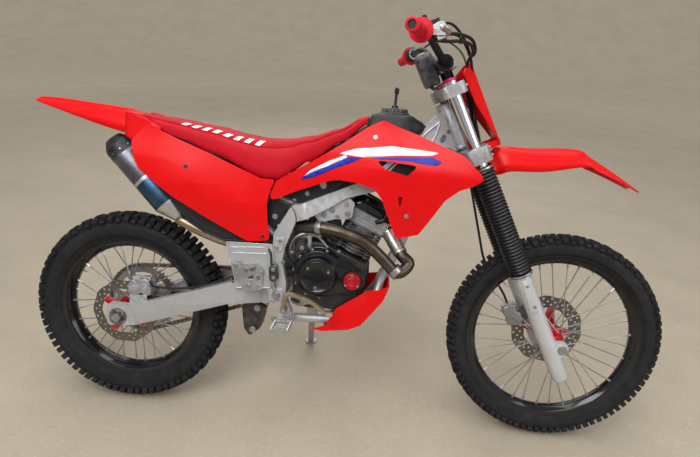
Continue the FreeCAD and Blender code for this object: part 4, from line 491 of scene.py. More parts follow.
def skin(rows, loop=False):
    # A grid of points as a surface; loop joins each row's ends.
    count = len(rows[0])
    points = [tuple(point) for row in rows for point in row]
    faces = []
    for i in range(len(rows) - 1):
        for j in range(count if loop else count - 1):
            k = (j + 1) % count
            faces.append([i * count + j, i * count + k, (i + 1) * count + k, (i + 1) * count + j])
    return points, faces


def loft(rows):
    # Closed rings joined, with flat ends.
    points, faces = skin(rows, True)
    count = len(rows[0])
    faces.append(list(reversed(range(count))))
    faces.append([len(points) - count + i for i in range(count)])
    return points, faces


def blend(stations):
    # A smooth value along a line, from (place, value) stations.
    def value(at):
        if at <= stations[0][0]:
            return stations[0][1]
        for (a, first), (b, last) in zip(stations, stations[1:]):
            if at <= b:
                t = (at - a) / (b - a)
                t = t * t * (3 - 2 * t) * 0.6 + t * 0.4
                return first + (last - first) * t
        return stations[-1][1]
    return value


# Pieces

def softenEdges(piece, width, angle):
    edge = piece.modifiers.new("edge", "BEVEL")
    edge.width = width * millimetre
    edge.segments = 2
    edge.limit_method = "ANGLE"
    edge.angle_limit = math.radians(angle)
    edge.harden_normals = True


def addPiece(name, part, place, body, finish, replaced=(), bevel=0, solid=0, smooth=35, welded=True, facing=False):
    # Makes the object, in metres on the model's frame, and rides it on its body. Bevel and wall are in millimetres;
    # a part whose faces already look outwards keeps them with facing.
    points, faces = part
    mesh = bpy.data.meshes.new(name)
    mesh.from_pydata([tuple(point) for point in points], [], faces)
    mesh.transform(place)
    shape = bmesh.new()
    shape.from_mesh(mesh)
    if welded:
        bmesh.ops.remove_doubles(shape, verts=shape.verts, dist=weldReach)
    if not facing:
        bmesh.ops.recalc_face_normals(shape, faces=shape.faces)
    shape.to_mesh(mesh)
    shape.free()
    mesh.polygons.foreach_set("use_smooth", [True] * len(mesh.polygons))
    mesh.set_sharp_from_angle(angle=math.radians(smooth))
    piece = bpy.data.objects.new(name, mesh)
    bpy.context.scene.collection.objects.link(piece)
    mesh.materials.append(finishes[finish].material)
    if solid:
        wall = piece.modifiers.new("wall", "SOLIDIFY")
        wall.thickness = solid * millimetre
        wall.offset = -1
        wall.use_even_offset = True
    if bevel:
        softenEdges(piece, bevel, smooth)
    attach(piece, body)
    if replaced:
        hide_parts(*replaced)


def bikePart(name, part, finish, replaced=(), **shaping):
    addPiece(name, part, onBike, "chassis", finish, replaced, **shaping)


def forkPart(name, part, finish, replaced=(), **shaping):
    addPiece(name, part, onFork, "steering", finish, replaced, **shaping)


def wheelPart(end, name, part, finish, replaced=(), **shaping):
    addPiece(end + name, part, wheels[end]["place"], end + "_wheel", finish, replaced, **shaping)


def filledMesh(outlines, extrude=0):
    # A passing mesh of filled flat outlines, holes among them; the caller removes it.
    curve = bpy.data.curves.new("flat", "CURVE")
    curve.dimensions = "2D"
    curve.fill_mode = "BOTH"
    curve.extrude = extrude
    for outline in outlines:
        spline = curve.splines.new("POLY")
        spline.points.add(len(outline) - 1)
        for point, (u, v) in zip(spline.points, outline):
            point.co = (u, v, 0, 1)
        spline.use_cyclic_u = True
    holder = bpy.data.objects.new("flat", curve)
    mesh = bpy.data.meshes.new_from_object(holder)
    bpy.data.objects.remove(holder)
    bpy.data.curves.remove(curve)
    return mesh


def flatShape(outlines, start, thickness, plane="side"):
    # Filled flat outlines, holes among them, given a thickness.
    mesh = filledMesh(outlines, thickness / 2)
    middle = start + thickness / 2
    points = [onPlane(u, v, level + middle, plane) for u, v, level in (vertex.co for vertex in mesh.vertices)]
    faces = [list(face.vertices) for face in mesh.polygons]
    bpy.data.meshes.remove(mesh)
    return points, faces


def circle(u, v, radius, steps=20):
    return [polar(radius, angle, u, v) for angle in turns(steps)]


def spun(part, count, offset):
    # Copies of the part around the Y axis.
    return joined([moved(part, Matrix.Rotation(angle, 4, "Y")) for angle in turns(count, offset)])


def sideBolts(level, height, spots):
    # Bolt heads on the right side, each an x, z and radius.
    return [boltHead((x, level, z), (0, -1, 0), radius, height) for x, z, radius in spots]


# Wheels, drawn about the Y axis with the axle at the origin

wheels = {
    "rear": {"place": onRearWheel, "radius": 330, "half": 56, "bead": 229, "opening": 210, "lip": 12, "rimHalf": 31,
             "hub": 24, "flange": 42, "flangeY": 29, "left": 71.7, "right": 63.7, "spoke": 1.9, "knobs": 36,
             "discRadius": 110, "discY": -66, "discBand": 29, "discRows": 2},
    "front": {"place": onFrontWheel, "radius": 347, "half": 45, "bead": 267, "opening": 250, "lip": 15, "rimHalf": 24,
              "hub": 20, "flange": 32, "flangeY": 27, "left": 55.7, "right": 60, "spoke": 1.8, "knobs": 44,
              "discRadius": 120, "discY": 58, "discBand": 42, "discRows": 3},
}
tyreLine = [(0.80, 0.28), (0.98, 0.55), (1.0, 0.72), (0.91, 0.90), (0.62, 0.965), (0.34, 0.997), (0.0, 1.0)]
carcassLine = [(0.76, 0.29), (0.78, 0.295), (0.84, 0.42), (0.86, 0.53),
               (0.84, 0.61), (0.77, 0.68), (0.66, 0.735), (0.47, 0.78), (0.24, 0.80), (0.0, 0.805)]
lugRows = [  # across share, width in mm, length as a share of the pitch, lean, step along the tread, depth in mm
    (0.165, 16, 0.28, 4, 0.0, 21), (0.50, 19, 0.29, 14, 0.5, 21), (0.80, 22, 0.31, 36, 0.0, 21),
    (0.95, 10, 0.26, 60, 0.5, 16)]
# The half width that the lugs' widths and depths are given for, and how they sink, lean and flare
lugForm = {"half": 56, "sink": 0.9, "leanSink": 0.4, "flare": 3}


def linePoint(line, share):
    # The tread line's height share at a share of the half width, above its widest place.
    upper = [point for point in line if point[1] >= 0.72]
    for (outer, low), (inner, high) in zip(upper, upper[1:]):
        if inner <= share <= outer:
            return low + (high - low) * (outer - share) / (outer - inner)
    return upper[0][1] if share > 0.9 else upper[-1][1]


def lug(top, base, widths, lengths):
    # A tapered block between two frames (centre, across, along), wide in the first way and long in the other.
    points = []
    for (centre, across, along), width, length in zip((base, top), widths, lengths):
        for a, b in ((-1, -1), (1, -1), (1, 1), (-1, 1)):
            points.append(tuple(centre + across * a * width / 2 + along * b * length / 2))
    return points, [[4, 5, 6, 7], [0, 1, 5, 4], [1, 2, 6, 5], [2, 3, 7, 6], [3, 0, 4, 7], [3, 2, 1, 0]]


def tyre(end):
    wheel = wheels[end]
    rise = wheel["radius"] - wheel["bead"]
    half = wheel["half"]
    right = [(wheel["bead"] + up * rise, across * half) for across, up in carcassLine]
    lip = wheel["bead"] + wheel["lip"]
    inner = [(wheel["bead"] - 3, 0.46 * half), (lip - 2, 0.52 * half), (lip + 1, 0.60 * half), (lip + 4, 0.66 * half)]
    outline = inner + right
    carcass = lathe(outline + [(radius, -y) for radius, y in reversed(outline[:-1])], 128)
    lugs = []
    pitch = 2 * math.pi * wheel["radius"] / wheel["knobs"]
    scale = half / lugForm["half"]
    for share, width, lengthShare, leanBy, shift, depth in lugRows:
        length = pitch * lengthShare
        for side in (1, -1):
            y = side * share * half
            turn = math.radians(leanBy) * side
            reach = (wheel["bead"] + linePoint(tyreLine, share) * rise - lugForm["sink"]
                     - length * length / 8 / wheel["radius"]
                     - abs(math.sin(turn)) * width * scale * lugForm["leanSink"])
            normal = Vector((math.cos(turn), math.sin(turn), 0))
            across = Vector((-math.sin(turn), math.cos(turn), 0))
            along = Vector((0, 0, 1))
            top = Vector((reach, y, 0))
            knob = lug((top, across, along), (top - normal * depth * scale, across, along),
                       (width * scale + lugForm["flare"], width * scale), (length + lugForm["flare"], length))
            lugs.append(spun(knob, wheel["knobs"], shift))
    wheelPart(end, "Carcass", carcass, "tyreRubber", (end + "_tyre",), smooth=50)
    wheelPart(end, "Lugs", joined(lugs), "tyreRubber", bevel=1.1, welded=False)


def rim(end):
    wheel = wheels[end]
    bead, opening, half = wheel["bead"], wheel["opening"], wheel["rimHalf"]
    lip = bead + wheel["lip"]
    line = [(opening, 0.0), (opening + 0.6, half * 0.30), (opening + 4, half * 0.55), (bead - 5, half * 0.80),
            (bead - 2, half * 0.97), (lip - 5, half * 1.0), (lip - 0.6, half * 0.99), (lip, half * 0.95),
            (lip - 1.2, half * 0.90), (bead + 1, half * 0.88), (bead - 1, half * 0.7), (opening + 8, half * 0.5),
            (opening + 5, 0.0)]
    outline = line + [(radius, -y) for radius, y in reversed(line[1:-1])]
    wheelPart(end, "Rim", lathe(outline, 144), "blackGloss", (end + "_rim",), smooth=40)


spokes = {"count": 36, "cross": 52, "headInset": 5, "headOffset": 7.2, "rimY": 6, "rimOffset": 3,
          "bendAside": 1.2, "bendLength": 9}


def wires(end):
    # Crossed spokes with bent heads, each with its nipple at the rim.
    wheel = wheels[end]
    wiresMade, nipples = [], []
    for i, angle in enumerate(turns(spokes["count"])):
        side = 1 if i % 2 else -1
        way = 1 if (i // 2) % 2 else -1
        start = Vector(around(wheel["flange"] - spokes["headInset"], angle - math.radians(spokes["cross"]) * way,
                              side * (wheel["flangeY"] + way * spokes["headOffset"])))
        finish = Vector(around(wheel["opening"], angle, side * (spokes["rimY"] + way * spokes["rimOffset"])))
        wiresMade.append(bar(start, finish, wheel["spoke"], 8))
        wiresMade.append(bar(start + Vector((0, side * way * spokes["bendAside"], 0)),
                             start - Vector((0, side * way * spokes["bendLength"], 0)), wheel["spoke"], 8))
        line = (finish - start).normalized()
        nipples.append(bar(finish - line * 15, finish + line * 2, 2.7, 6, 3.3))
        nipples.append(bar(finish - line * 3, finish + line * 2, 3.6, 10, 4.2))
    wheelPart(end, "Wires", joined(wiresMade), "zincSteel", (end + "_spokes",))
    wheelPart(end, "Nipples", joined(nipples), "zincSteel")


def hub(end):
    wheel = wheels[end]
    barrel, flange, y = wheel["hub"], wheel["flange"], wheel["flangeY"]
    line = [(12, -wheel["right"]), (barrel - 3, -wheel["right"]), (barrel, -wheel["right"] + 3), (barrel, -y - 6),
            (barrel + 4, -y - 5.6), (flange - 2, -y - 3.5), (flange, -y - 2), (flange, -y + 2),
            (flange - 2, -y + 3.5), (barrel + 5, -y + 7), (barrel - 2, -y + 13), (barrel - 4, 0),
            (barrel - 2, y - 13), (barrel + 5, y - 7), (flange - 2, y - 3.5), (flange, y - 2), (flange, y + 2),
            (flange - 2, y + 3.5), (barrel + 4, y + 5.6), (barrel, y + 6), (barrel, wheel["left"] - 3),
            (barrel - 3, wheel["left"]), (12, wheel["left"])]
    wheelPart(end, "Hub", lathe(line, 56), "redMetal", (end + "_hub",), bevel=0.8)


discShape = {"lobes": 10, "steps": 240, "outerWave": 2.0, "innerWave": 1.6, "thickness": 3.2, "holes": 24,
             "holeRadius": 3.7, "edge": 8, "rowStep": 11, "rowTurn": 0.13, "carrierThickness": 5.2, "bore": 21,
             "bolts": 6, "boltCircle": 29, "arms": 4, "armTurn": 59}


def disc(end):
    # A ring scalloped both ways and drilled in rows, on a four-armed carrier bolted to the hub.
    wheel, form = wheels[end], discShape
    radius = wheel["discRadius"] - 2.2
    band = radius - wheel["discBand"]
    outlines = [[polar(reach + wave * math.cos(form["lobes"] * t), t) for t in turns(form["steps"])]
                for reach, wave in ((radius, form["outerWave"]), (band, form["innerWave"]))]
    for t in turns(form["holes"]):
        for row in range(wheel["discRows"]):
            reach = radius - form["edge"] - form["rowStep"] * row
            outlines.append(circle(*polar(reach, t + form["rowTurn"] * (row % 2)), form["holeRadius"], 12))
    star = []
    for i in range(form["arms"]):
        for reach, turn in ((36, -40), (47, -17), (band - 3, -8), (band + 3, -5), (band + 3, 5), (band - 3, 8),
                            (47, 17), (36, 40)):
            star.append(polar(reach, math.radians(i * 360 / form["arms"] + form["armTurn"] + turn)))
    y = wheel["discY"]
    out = 1 if y > 0 else -1
    carrier = flatShape([star, circle(0, 0, form["bore"], 48)], y - form["carrierThickness"] / 2,
                        form["carrierThickness"])
    face = flatShape(outlines, y - form["thickness"] / 2, form["thickness"])
    bolts = [capScrew(around(form["boltCircle"], t, y + out * form["thickness"] / 2), (0, out, 0), 5.2, 5)
             for t in turns(form["bolts"], 0.5)]
    wheelPart(end, "Disc", face, "discSteel", (end + "_disc",))
    wheelPart(end, "DiscCarrier", carrier, "redMetal", bevel=0.6)
    wheelPart(end, "DiscBolts", joined(bolts), "zincSteel", bevel=0.4)


for wheelEnd in ("rear", "front"):
    tyre(wheelEnd)
    rim(wheelEnd)
    wires(wheelEnd)
    hub(wheelEnd)
    disc(wheelEnd)
print("wheels ready")


# Chain drive

drive = {"pitch": 15.875, "teeth": 48, "frontTeeth": 13, "front": (590, 448), "rear": (0, 330), "y": 75,
         "roller": 5.08, "plateHalf": 6.6, "plate": 1.8, "innerReach": 4.4, "outerReach": 6.3, "rollerReach": 3.4,
         "pin": 2.4, "pinReach": 8.2, "thickness": 5.2, "bore": 26, "windowOuter": 95, "windowInner": 52,
         "holeCircle": 103, "hole": 5, "boltCircle": 38}


def pitchRadius(teeth):
    return drive["pitch"] / (2 * math.sin(math.pi / teeth))


def toothedOutline(teeth, tip, root):
    radius = pitchRadius(teeth)
    outline = []
    for i in range(teeth):
        for share, reach in ((-0.30, radius - root), (-0.12, radius + 1), (-0.05, radius + tip),
                             (0.05, radius + tip), (0.12, radius + 1), (0.30, radius - root)):
            outline.append(polar(reach, 2 * math.pi * (i + share) / teeth))
    return outline


def sprocket():
    outlines = [toothedOutline(drive["teeth"], 4.6, 5.2), circle(0, 0, drive["bore"], 48)]
    for start in turns(6):
        window = [polar(drive["windowOuter"], start + 0.16 + 0.73 * k / 8) for k in range(9)]
        window += [polar(drive["windowInner"], start + 0.80 - 0.55 * k / 5) for k in range(6)]
        outlines.append(rounded(window, 6, 3))
        outlines.append(circle(*polar(drive["holeCircle"], start), drive["hole"], 16))
    half = drive["thickness"] / 2
    face = flatShape(outlines, drive["y"] - half, drive["thickness"])
    bolts = [boltHead(around(drive["boltCircle"], t, drive["y"] + half), (0, 1, 0), 6, 6) for t in turns(6, 0.5)]
    wheelPart("rear", "Sprocket", face, "zincSteel", ("rear_sprocket",))
    addPiece("sprocketBolts", joined(bolts), onRearWheel, "rear_wheel", "zincSteel", bevel=0.5)


def onRim(middle, radius, angle):
    return middle + Vector(polar(1, angle)) * radius


def chainPath():
    # The places of the link pins on the pitch line round both sprockets.
    rearR, frontR = pitchRadius(drive["teeth"]), pitchRadius(drive["frontTeeth"])
    rear, front = Vector(drive["rear"]), Vector(drive["front"])
    way = front - rear
    slope = math.atan2(way.y, way.x)
    spread = math.acos((rearR - frontR) / way.length)
    run = math.sqrt(way.length ** 2 - (rearR - frontR) ** 2)
    lengths = [run, frontR * 2 * spread, run, rearR * (2 * math.pi - 2 * spread)]
    total = sum(lengths)
    count = 2 * round(total / drive["pitch"] / 2)
    places = []
    for i in range(count):
        at = total * i / count
        if at < lengths[0]:
            start = onRim(rear, rearR, slope + spread)
            places.append(start + (onRim(front, frontR, slope + spread) - start) * at / run)
        elif at < lengths[0] + lengths[1]:
            places.append(onRim(front, frontR, slope + spread - (at - lengths[0]) / frontR))
        elif at < lengths[0] + lengths[1] + lengths[2]:
            start = onRim(front, frontR, slope - spread)
            places.append(start + (onRim(rear, rearR, slope - spread) - start) * (at - lengths[0] - lengths[1]) / run)
        else:
            places.append(onRim(rear, rearR, slope - spread - (at - lengths[0] - lengths[1] - lengths[2]) / rearR))
    return places


def linkPlate(first, last, y, thickness, half):
    # A waisted plate round two pins.
    way = (last - first).normalized()
    side = Vector((-way.y, way.x))
    outline = []
    for centre, start in ((last, -90), (first, 90)):
        for k in range(7):
            t = math.radians(start + 180 * k / 6)
            outline.append(tuple(centre + (way * math.cos(t) + side * math.sin(t)) * half))
        waist = half * (0.66 if centre is last else -0.66)
        outline.append(tuple((first + last) / 2 + side * waist))
    return plate(outline, y, thickness)


def chain():
    pins = chainPath()
    inner, outer, rollers = [], [], []
    for i, pin in enumerate(pins):
        after = pins[(i + 1) % len(pins)]
        links, reach = (inner, drive["innerReach"]) if i % 2 else (outer, drive["outerReach"])
        for side in (1, -1):
            y = drive["y"] + side * reach - drive["plate"] / 2
            links.append(linkPlate(pin, after, y, drive["plate"], drive["plateHalf"]))
        for out, radius, sides in ((drive["rollerReach"], drive["roller"], 10), (drive["pinReach"], drive["pin"], 8)):
            rollers.append(bar((pin.x, drive["y"] - out, pin.y), (pin.x, drive["y"] + out, pin.y), radius, sides))
    bikePart("chainInner", joined(inner), "chainSteel", ("drive_chain",), smooth=50)
    bikePart("chainOuter", joined(outer), "chainSteel", smooth=50)
    bikePart("chainRollers", joined(rollers), "zincSteel", smooth=50)
    small = flatShape([toothedOutline(drive["frontTeeth"], 4.0, 5.2), circle(0, 0, 11, 24)],
                      -drive["thickness"] / 2, drive["thickness"])
    nut = bar((0, 2.6, 0), (0, 9, 0), 17, 6)
    shaft = bar((0, -18, 0), (0, 12, 0), 11, 24)
    front = Matrix.Translation((drive["front"][0], drive["y"], drive["front"][1]))
    addPiece("frontSprocket", joined([small, nut, shaft]), onBike @ front, "chassis", "zincSteel", smooth=40)


sprocket()
chain()
print("chain drive ready")


def bentPanel(outlines, cell, surface):
    # The flat outlines, holes among them, cut in cells and laid on the surface y(x, z), all facing one way.
    mesh = filledMesh(outlines)
    shape = bmesh.new()
    shape.from_mesh(mesh)
    bmesh.ops.remove_doubles(shape, verts=shape.verts, dist=0.01)
    for axis in (0, 1):
        low = min(point[axis] for outline in outlines for point in outline)
        high = max(point[axis] for outline in outlines for point in outline)
        for i in range(1, int((high - low) / cell) + 1):
            place = [0, 0, 0]
            normal = [0, 0, 0]
            place[axis] = low + i * cell
            normal[axis] = 1
            everything = shape.verts[:] + shape.edges[:] + shape.faces[:]
            bmesh.ops.bisect_plane(shape, geom=everything, plane_co=place, plane_no=normal, dist=0.001)
    shape.verts.index_update()
    points = [surface(vertex.co.x, vertex.co.y) for vertex in shape.verts]
    faces = [[vertex.index for vertex in face.verts] for face in shape.faces]
    if sum(face.normal.z * face.calc_area() for face in shape.faces) < 0:
        faces = [face[::-1] for face in faces]
    shape.free()
    bpy.data.meshes.remove(mesh)
    return points, faces


def stationSkin(stations, side=-1, lift=0.0):
    # y(x, z) through stations, each an x with its (z, distance from the middle) points.
    lines = [(x, blend(points)) for x, points in stations]

    def surface(x, z):
        across = blend([(at, line(z)) for at, line in lines])(x)
        return (x, side * (across + lift), z)
    return surface


# Bodywork, drawn on the right side and mirrored

shroudLine = [(484, 746), (576, 789), (672, 827), (698, 832), (756, 826), (806, 811), (829, 782), (867, 691),
              (880, 663), (945, 684), (967, 720), (1010, 796), (1047, 829), (1081, 844), (1115, 867), (1051, 928),
              (923, 975), (865, 994), (816, 1012), (773, 989), (700, 935), (597, 868), (506, 812)]
shroudVent = [(803, 897), (862, 894), (926, 889), (897, 858), (832, 873)]
shroudSlot = [(875, 796), (890, 795), (883, 757)]
shroudStations = [(484, [(663, 112), (705, 124), (760, 122), (1012, 110)]),
                  (705, [(663, 128), (848, 149), (900, 144), (1012, 116)]),
                  (875, [(663, 130), (800, 150), (872, 158), (1012, 118)]),
                  (1115, [(663, 168), (780, 188), (866, 196), (1012, 164)])]
panelLine = [(56, 904), (102, 957), (195, 920), (307, 880), (461, 818), (506, 816), (492, 788), (483, 745),
             (485, 690), (494, 625), (424, 619), (290, 687), (194, 742), (147, 772), (80, 823), (63, 868)]
panelStations = [(56, [(619, 100), (850, 124), (957, 100)]),
                 (213, [(619, 116), (790, 142), (957, 108)]),
                 (393, [(619, 124), (740, 142), (957, 116)]),
                 (506, [(619, 120), (740, 124), (957, 116)])]
shroudSkin = stationSkin(shroudStations)
panelSkin = stationSkin(panelStations)


def pushPin(skinAt, x, z):
    # A bolt with its washer, square to the panel.
    here = Vector(skinAt(x, z))
    ahead = Vector(skinAt(x + 4, z)) - here
    above = Vector(skinAt(x, z + 4)) - here
    normal = ahead.cross(above).normalized()
    normal = normal if normal.y < 0 else -normal
    washer = bar(here - normal, here + normal * 1.2, 6.6)
    return joined([washer, capScrew(here + normal * 1.2, normal, 4.25, 3)])


def shrouds():
    outlines = [rounded(shroudLine, 14, 4), rounded(shroudVent, 7, 3), rounded(shroudSlot, 3, 3)]
    panel = bentPanel(outlines, 16, shroudSkin)
    bikePart("shroudSkins", bothSides(panel), "redPlastic", ("shrouds",), solid=3.2, smooth=60, facing=True,
             bevel=0.8)
    # A black plate behind the vent, painted shade for the vent's dark inside, with the frame's bright edge showing in
    # it
    ventShadePlate = plate([(790, 900), (940, 892), (905, 842), (820, 862)], -124, 3)
    bikePart("ventShade", bothSides(ventShadePlate), "blackPlastic", bevel=0.5)
    gleam = joined([plate([(815, 868), (832, 865), (858, 893), (838, 893)], -128, 3.5),
                    plate([(838, 864), (844, 863), (868, 891), (862, 892)], -128, 3.5)])
    bikePart("ventBars", bothSides(gleam), "frameMetal", bevel=0.8)
    bikePart("shroudBolts", bothSides(pushPin(shroudSkin, 797, 962), pushPin(shroudSkin, 905, 738)), "zincSteel",
             bevel=0.4)


stripes = {
    # Slanted marks on the shroud, plain shapes with no letters
    "whiteMark": [[(690, 908), (742, 926), (848, 940), (985, 931), (962, 921), (862, 914), (772, 903)],
                  [(588, 830), (615, 847), (664, 870), (721, 900), (714, 906), (666, 885), (612, 854)]],
    "blueMark": [[(772, 899), (862, 910), (962, 917), (992, 906), (976, 895), (935, 896), (905, 901), (838, 901)],
                 [(582, 821), (625, 834), (674, 860), (722, 880), (764, 901), (721, 901), (664, 871), (615, 848),
                  (588, 831)]],
}


def marks():
    for name, outlines in stripes.items():
        lift = stationSkin(shroudStations, -1, 0.7 + (0.25 if name == "whiteMark" else 0))
        parts = [bentPanel([rounded(outline, 3, 2)], 14, lift) for outline in outlines]
        bikePart(name + "Stripes", bothSides(*parts), name, solid=0.5, smooth=60, facing=True)


def sidePanels():
    panel = bentPanel([rounded(panelLine, 16, 4)], 16, panelSkin)
    bikePart("panelSkins", bothSides(panel), "redPlastic", ("side_panels",), solid=3.2, smooth=60, facing=True,
             bevel=0.8)
    bolts = [pushPin(panelSkin, 233, 838), pushPin(panelSkin, 470, 638)]
    bikePart("panelBolts", bothSides(*bolts), "blackSatin", bevel=0.4)


def archRows(stations, across):
    # Rows of points over an arched shell; a station is x, top z, half width, drop of the edge, flat share.
    rows = []
    for x, top, half, drop, flat in stations:
        row = []
        for k in range(across + 1):
            share = 2 * k / across - 1
            bend = max(0.0, abs(share) - flat) / (1 - flat)
            row.append((x, share * half, top - drop * bend ** 1.6))
        rows.append(row)
    return rows


def smoothStations(stations, steps=6):
    # The stations with smooth ones between them.
    columns = list(zip(*stations))
    made = []
    for i in range(len(stations) - 1):
        for step in range(steps):
            t = step / steps
            values = []
            for column in columns:
                a = column[max(i - 1, 0)]
                b, c = column[i], column[i + 1]
                d = column[min(i + 2, len(column) - 1)]
                values.append(b + 0.5 * t * (c - a + t * (2 * a - 5 * b + 4 * c - d + t * (3 * (b - c) + d - a))))
            made.append(tuple(values))
    return made + [tuple(stations[-1])]


jointLine = [(28, 914), (56, 901), (70, 908), (106, 946), (136, 936), (148, 946), (118, 961), (66, 982), (28, 988)]
jointStations = [(28, [(900, 95), (988, 88)]), (112, [(900, 111), (960, 99)]), (200, [(900, 112), (940, 105)])]
rearFenderStations = [(-286, 1012, 40, 8, 0.5), (-240, 1012, 54, 20, 0.5), (-132, 1003, 74, 40, 0.55),
                      (-40, 995, 86, 56, 0.6), (20, 988, 92, 62, 0.62), (49, 982, 92, 60, 0.62)]
frontFenderStations = [(10, 641, 50, 34, 0.4), (66, 641, 52, 60, 0.4), (107, 652, 64, 76, 0.45),
                       (200, 607, 66, 70, 0.45), (315, 557, 64, 52, 0.45), (344, 520, 60, 44, 0.4),
                       (398, 442, 52, 24, 0.4), (440, 376, 42, 8, 0.4)]


def rearFender():
    rows = archRows(smoothStations(rearFenderStations), 16)
    bikePart("rearFenderShell", skin(rows), "redPlastic", ("rear_fender",), solid=3.4, smooth=50)
    joint = bentPanel([rounded(jointLine, 6, 3)], 14, stationSkin(jointStations))
    bikePart("tailJoints", bothSides(joint), "redPlastic", solid=2.6, smooth=60, facing=True)
    ridge = []
    for side in (1, -1):
        path = [(x, side * half * 0.42, top + 1.0)
                for x, top, half in (station[:3] for station in smoothStations(rearFenderStations, 3)) if x < 20]
        ridge.append(tube(path, 2.6, 8, 2))
    bikePart("rearFenderRidges", joined(ridge), "redPlastic")


def frontFender():
    rows = archRows(smoothStations(frontFenderStations), 16)
    forkPart("frontFenderShell", skin(rows), "redPlastic", ("front_fender",), solid=3.4, smooth=50)


shrouds()
marks()
sidePanels()
rearFender()
frontFender()
print("bodywork ready")


# The seat's two covers with a seam, and slanted white bars along the top's edge

seatTop = [(50, 983), (141, 975), (291, 957), (379, 939), (458, 931), (519, 933), (601, 949), (682, 976), (761, 1021)]
seatLow = [(50, 975), (100, 956), (193, 920), (305, 880), (460, 817), (506, 815), (597, 872), (695, 939), (768, 996)]
seatWide = [(50, 64), (122, 89), (373, 104), (524, 96), (700, 62), (768, 46)]


def seatSection(x):
    # Half a section from the middle of the top down the side, as (y, z).
    top, low, half = blend(seatTop)(x), blend(seatLow)(x), blend(seatWide)(x)
    tall = top - low
    return [(half * across, top - tall * down) for across, down in
            ((0.0, 0.0), (0.30, 0.004), (0.55, 0.02), (0.72, 0.06), (0.84, 0.12), (0.92, 0.20), (0.965, 0.30),
             (0.99, 0.45), (1.0, 0.62), (1.0, 0.80), (1.0, 0.97), (0.98, 1.0))]


seatBars = {"count": 8, "start": 214, "pitch": 33, "width": 17, "slant": 13, "topStep": 3.1, "steps": 1.9,
            "out": 1.6, "up": 2.6}


def barPoint(side, i, across, down):
    # A place on a slanted bar, at shares of its width and height, a little off the cover.
    at = seatBars["start"] + seatBars["pitch"] * i + seatBars["width"] * across - seatBars["slant"] * down
    step = seatBars["topStep"] + seatBars["steps"] * down
    section = seatSection(at)
    (y, z), (nextY, nextZ) = section[int(step)], section[int(step) + 1]
    part = step - int(step)
    return (at, side * (y + (nextY - y) * part + seatBars["out"]), z + (nextZ - z) * part + seatBars["up"])


def seat():
    places = [51] + [50 + 718 * i / 60 for i in range(1, 61)]
    rows = []
    for x in places:
        section = seatSection(x)
        low = section[-1][1]
        half = section[-1][0]
        row = [(x, -y, z) for y, z in reversed(section)] + [(x, y, z) for y, z in section[1:]]
        row += [(x, half * share, low) for share in (0.6, 0.2, -0.2, -0.6)]
        rows.append(row)
    bikePart("seatCover", loft(rows), "seatSide", ("seat",), smooth=50)
    # The gripper on top, a hair above the cover between the two seams
    topRows = []
    for x in places[2:-2]:
        section = [(y, z + 1.0) for y, z in seatSection(x)[:6]]
        topRows.append([(x, -y, z) for y, z in reversed(section)] + [(x, y, z) for y, z in section[1:]])
    bikePart("seatGripper", skin(topRows), "seatTop", solid=1.4, smooth=50)
    seams = []
    for side in (1, -1):
        path = []
        for x in places[2:-2:3]:
            y, z = seatSection(x)[5]
            path.append((x, side * (y + 0.6), z + 0.6))
        seams.append(tube(path, 1.5, 6, 2))
    bikePart("seatSeams", joined(seams), "seatTop")
    bars = []
    for side in (1, -1):
        for i in range(seatBars["count"]):
            bars.append(skin([[barPoint(side, i, j / 4, k / 8) for j in range(5)] for k in range(9)]))
    bikePart("seatBars", joined(bars), "whiteMark", solid=0.8, smooth=50)


# Tank with its cap and breather

tankTop = [(597, 872), (640, 905), (695, 938), (768, 992), (775, 1026), (800, 1033), (895, 1031), (930, 1015),
           (948, 1000)]
tankLow = [(597, 860), (605, 792), (700, 812), (761, 825), (830, 880), (905, 955), (930, 975), (948, 995)]
tankWide = [(597, 66), (700, 96), (760, 106), (880, 106), (920, 84), (948, 54)]


def tank():
    rows = []
    for i in range(49):
        x = 597 + 351 * i / 48
        top, low, half = blend(tankTop)(x), blend(tankLow)(x), blend(tankWide)(x)
        tall = max(top - low, 4)
        section = [(0.0, 0.0), (0.5, 0.0), (0.78, 0.03), (0.93, 0.12), (1.0, 0.30), (1.0, 0.75), (0.94, 0.93),
                   (0.8, 1.0)]
        right = [(x, -half * across, top - tall * down) for across, down in reversed(section)]
        left = [(x, half * across, top - tall * down) for across, down in section[1:]]
        rows.append(right + left)
    bikePart("tankShell", loft(rows), "blackPlastic", ("fuel_tank",), smooth=45)
    rim = lathe([(30, 0), (46, 0), (47, 3), (44, 6), (40, 7), (30, 7)], 48)
    turn = Matrix.Rotation(math.pi / 2, 4, "X")
    knurled = [bar((*polar(37, t), 7), (*polar(35, t), 17), 5.5, 8) for t in turns(18)]
    cap = moved(lathe([(0.5, 0), (37, 0), (38, 2), (36, 11), (31, 14), (12, 15), (0.5, 15)], 48), turn)
    base = Matrix.Translation((848, 0, 1031))
    top = [moved(moved(rim, turn), base), moved(cap, base @ Matrix.Translation((0, 0, 4)))]
    top += [moved(part, base @ Matrix.Translation((0, 0, -1))) for part in knurled]
    bikePart("tankCap", joined(top), "blackSatin", ("fuel_cap",), smooth=40, bevel=0.8)
    breather = [bar((848, 0, 1046), (848, 0, 1058), 11, 20, 9), bar((848, 0, 1056), (850, 0, 1112), 4.2, 16),
                bar((850, 0, 1092), (850, 0, 1108), 6.5, 16, 7.5)]
    bikePart("breather", joined(breather), "softRubber", bevel=0.5)


seat()
tank()
print("seat and tank ready")


# Engine, drawn on the bike and on the cylinder's own axis

def along(profile, start, end, segments=40):
    # A closed (radius, distance) profile turned about a line.
    line, across, other = axes(Vector(end) - Vector(start))
    points, faces = lathe(profile, segments)
    base = Vector(start)
    return [tuple(base + across * x + line * y + other * z) for x, y, z in points], faces


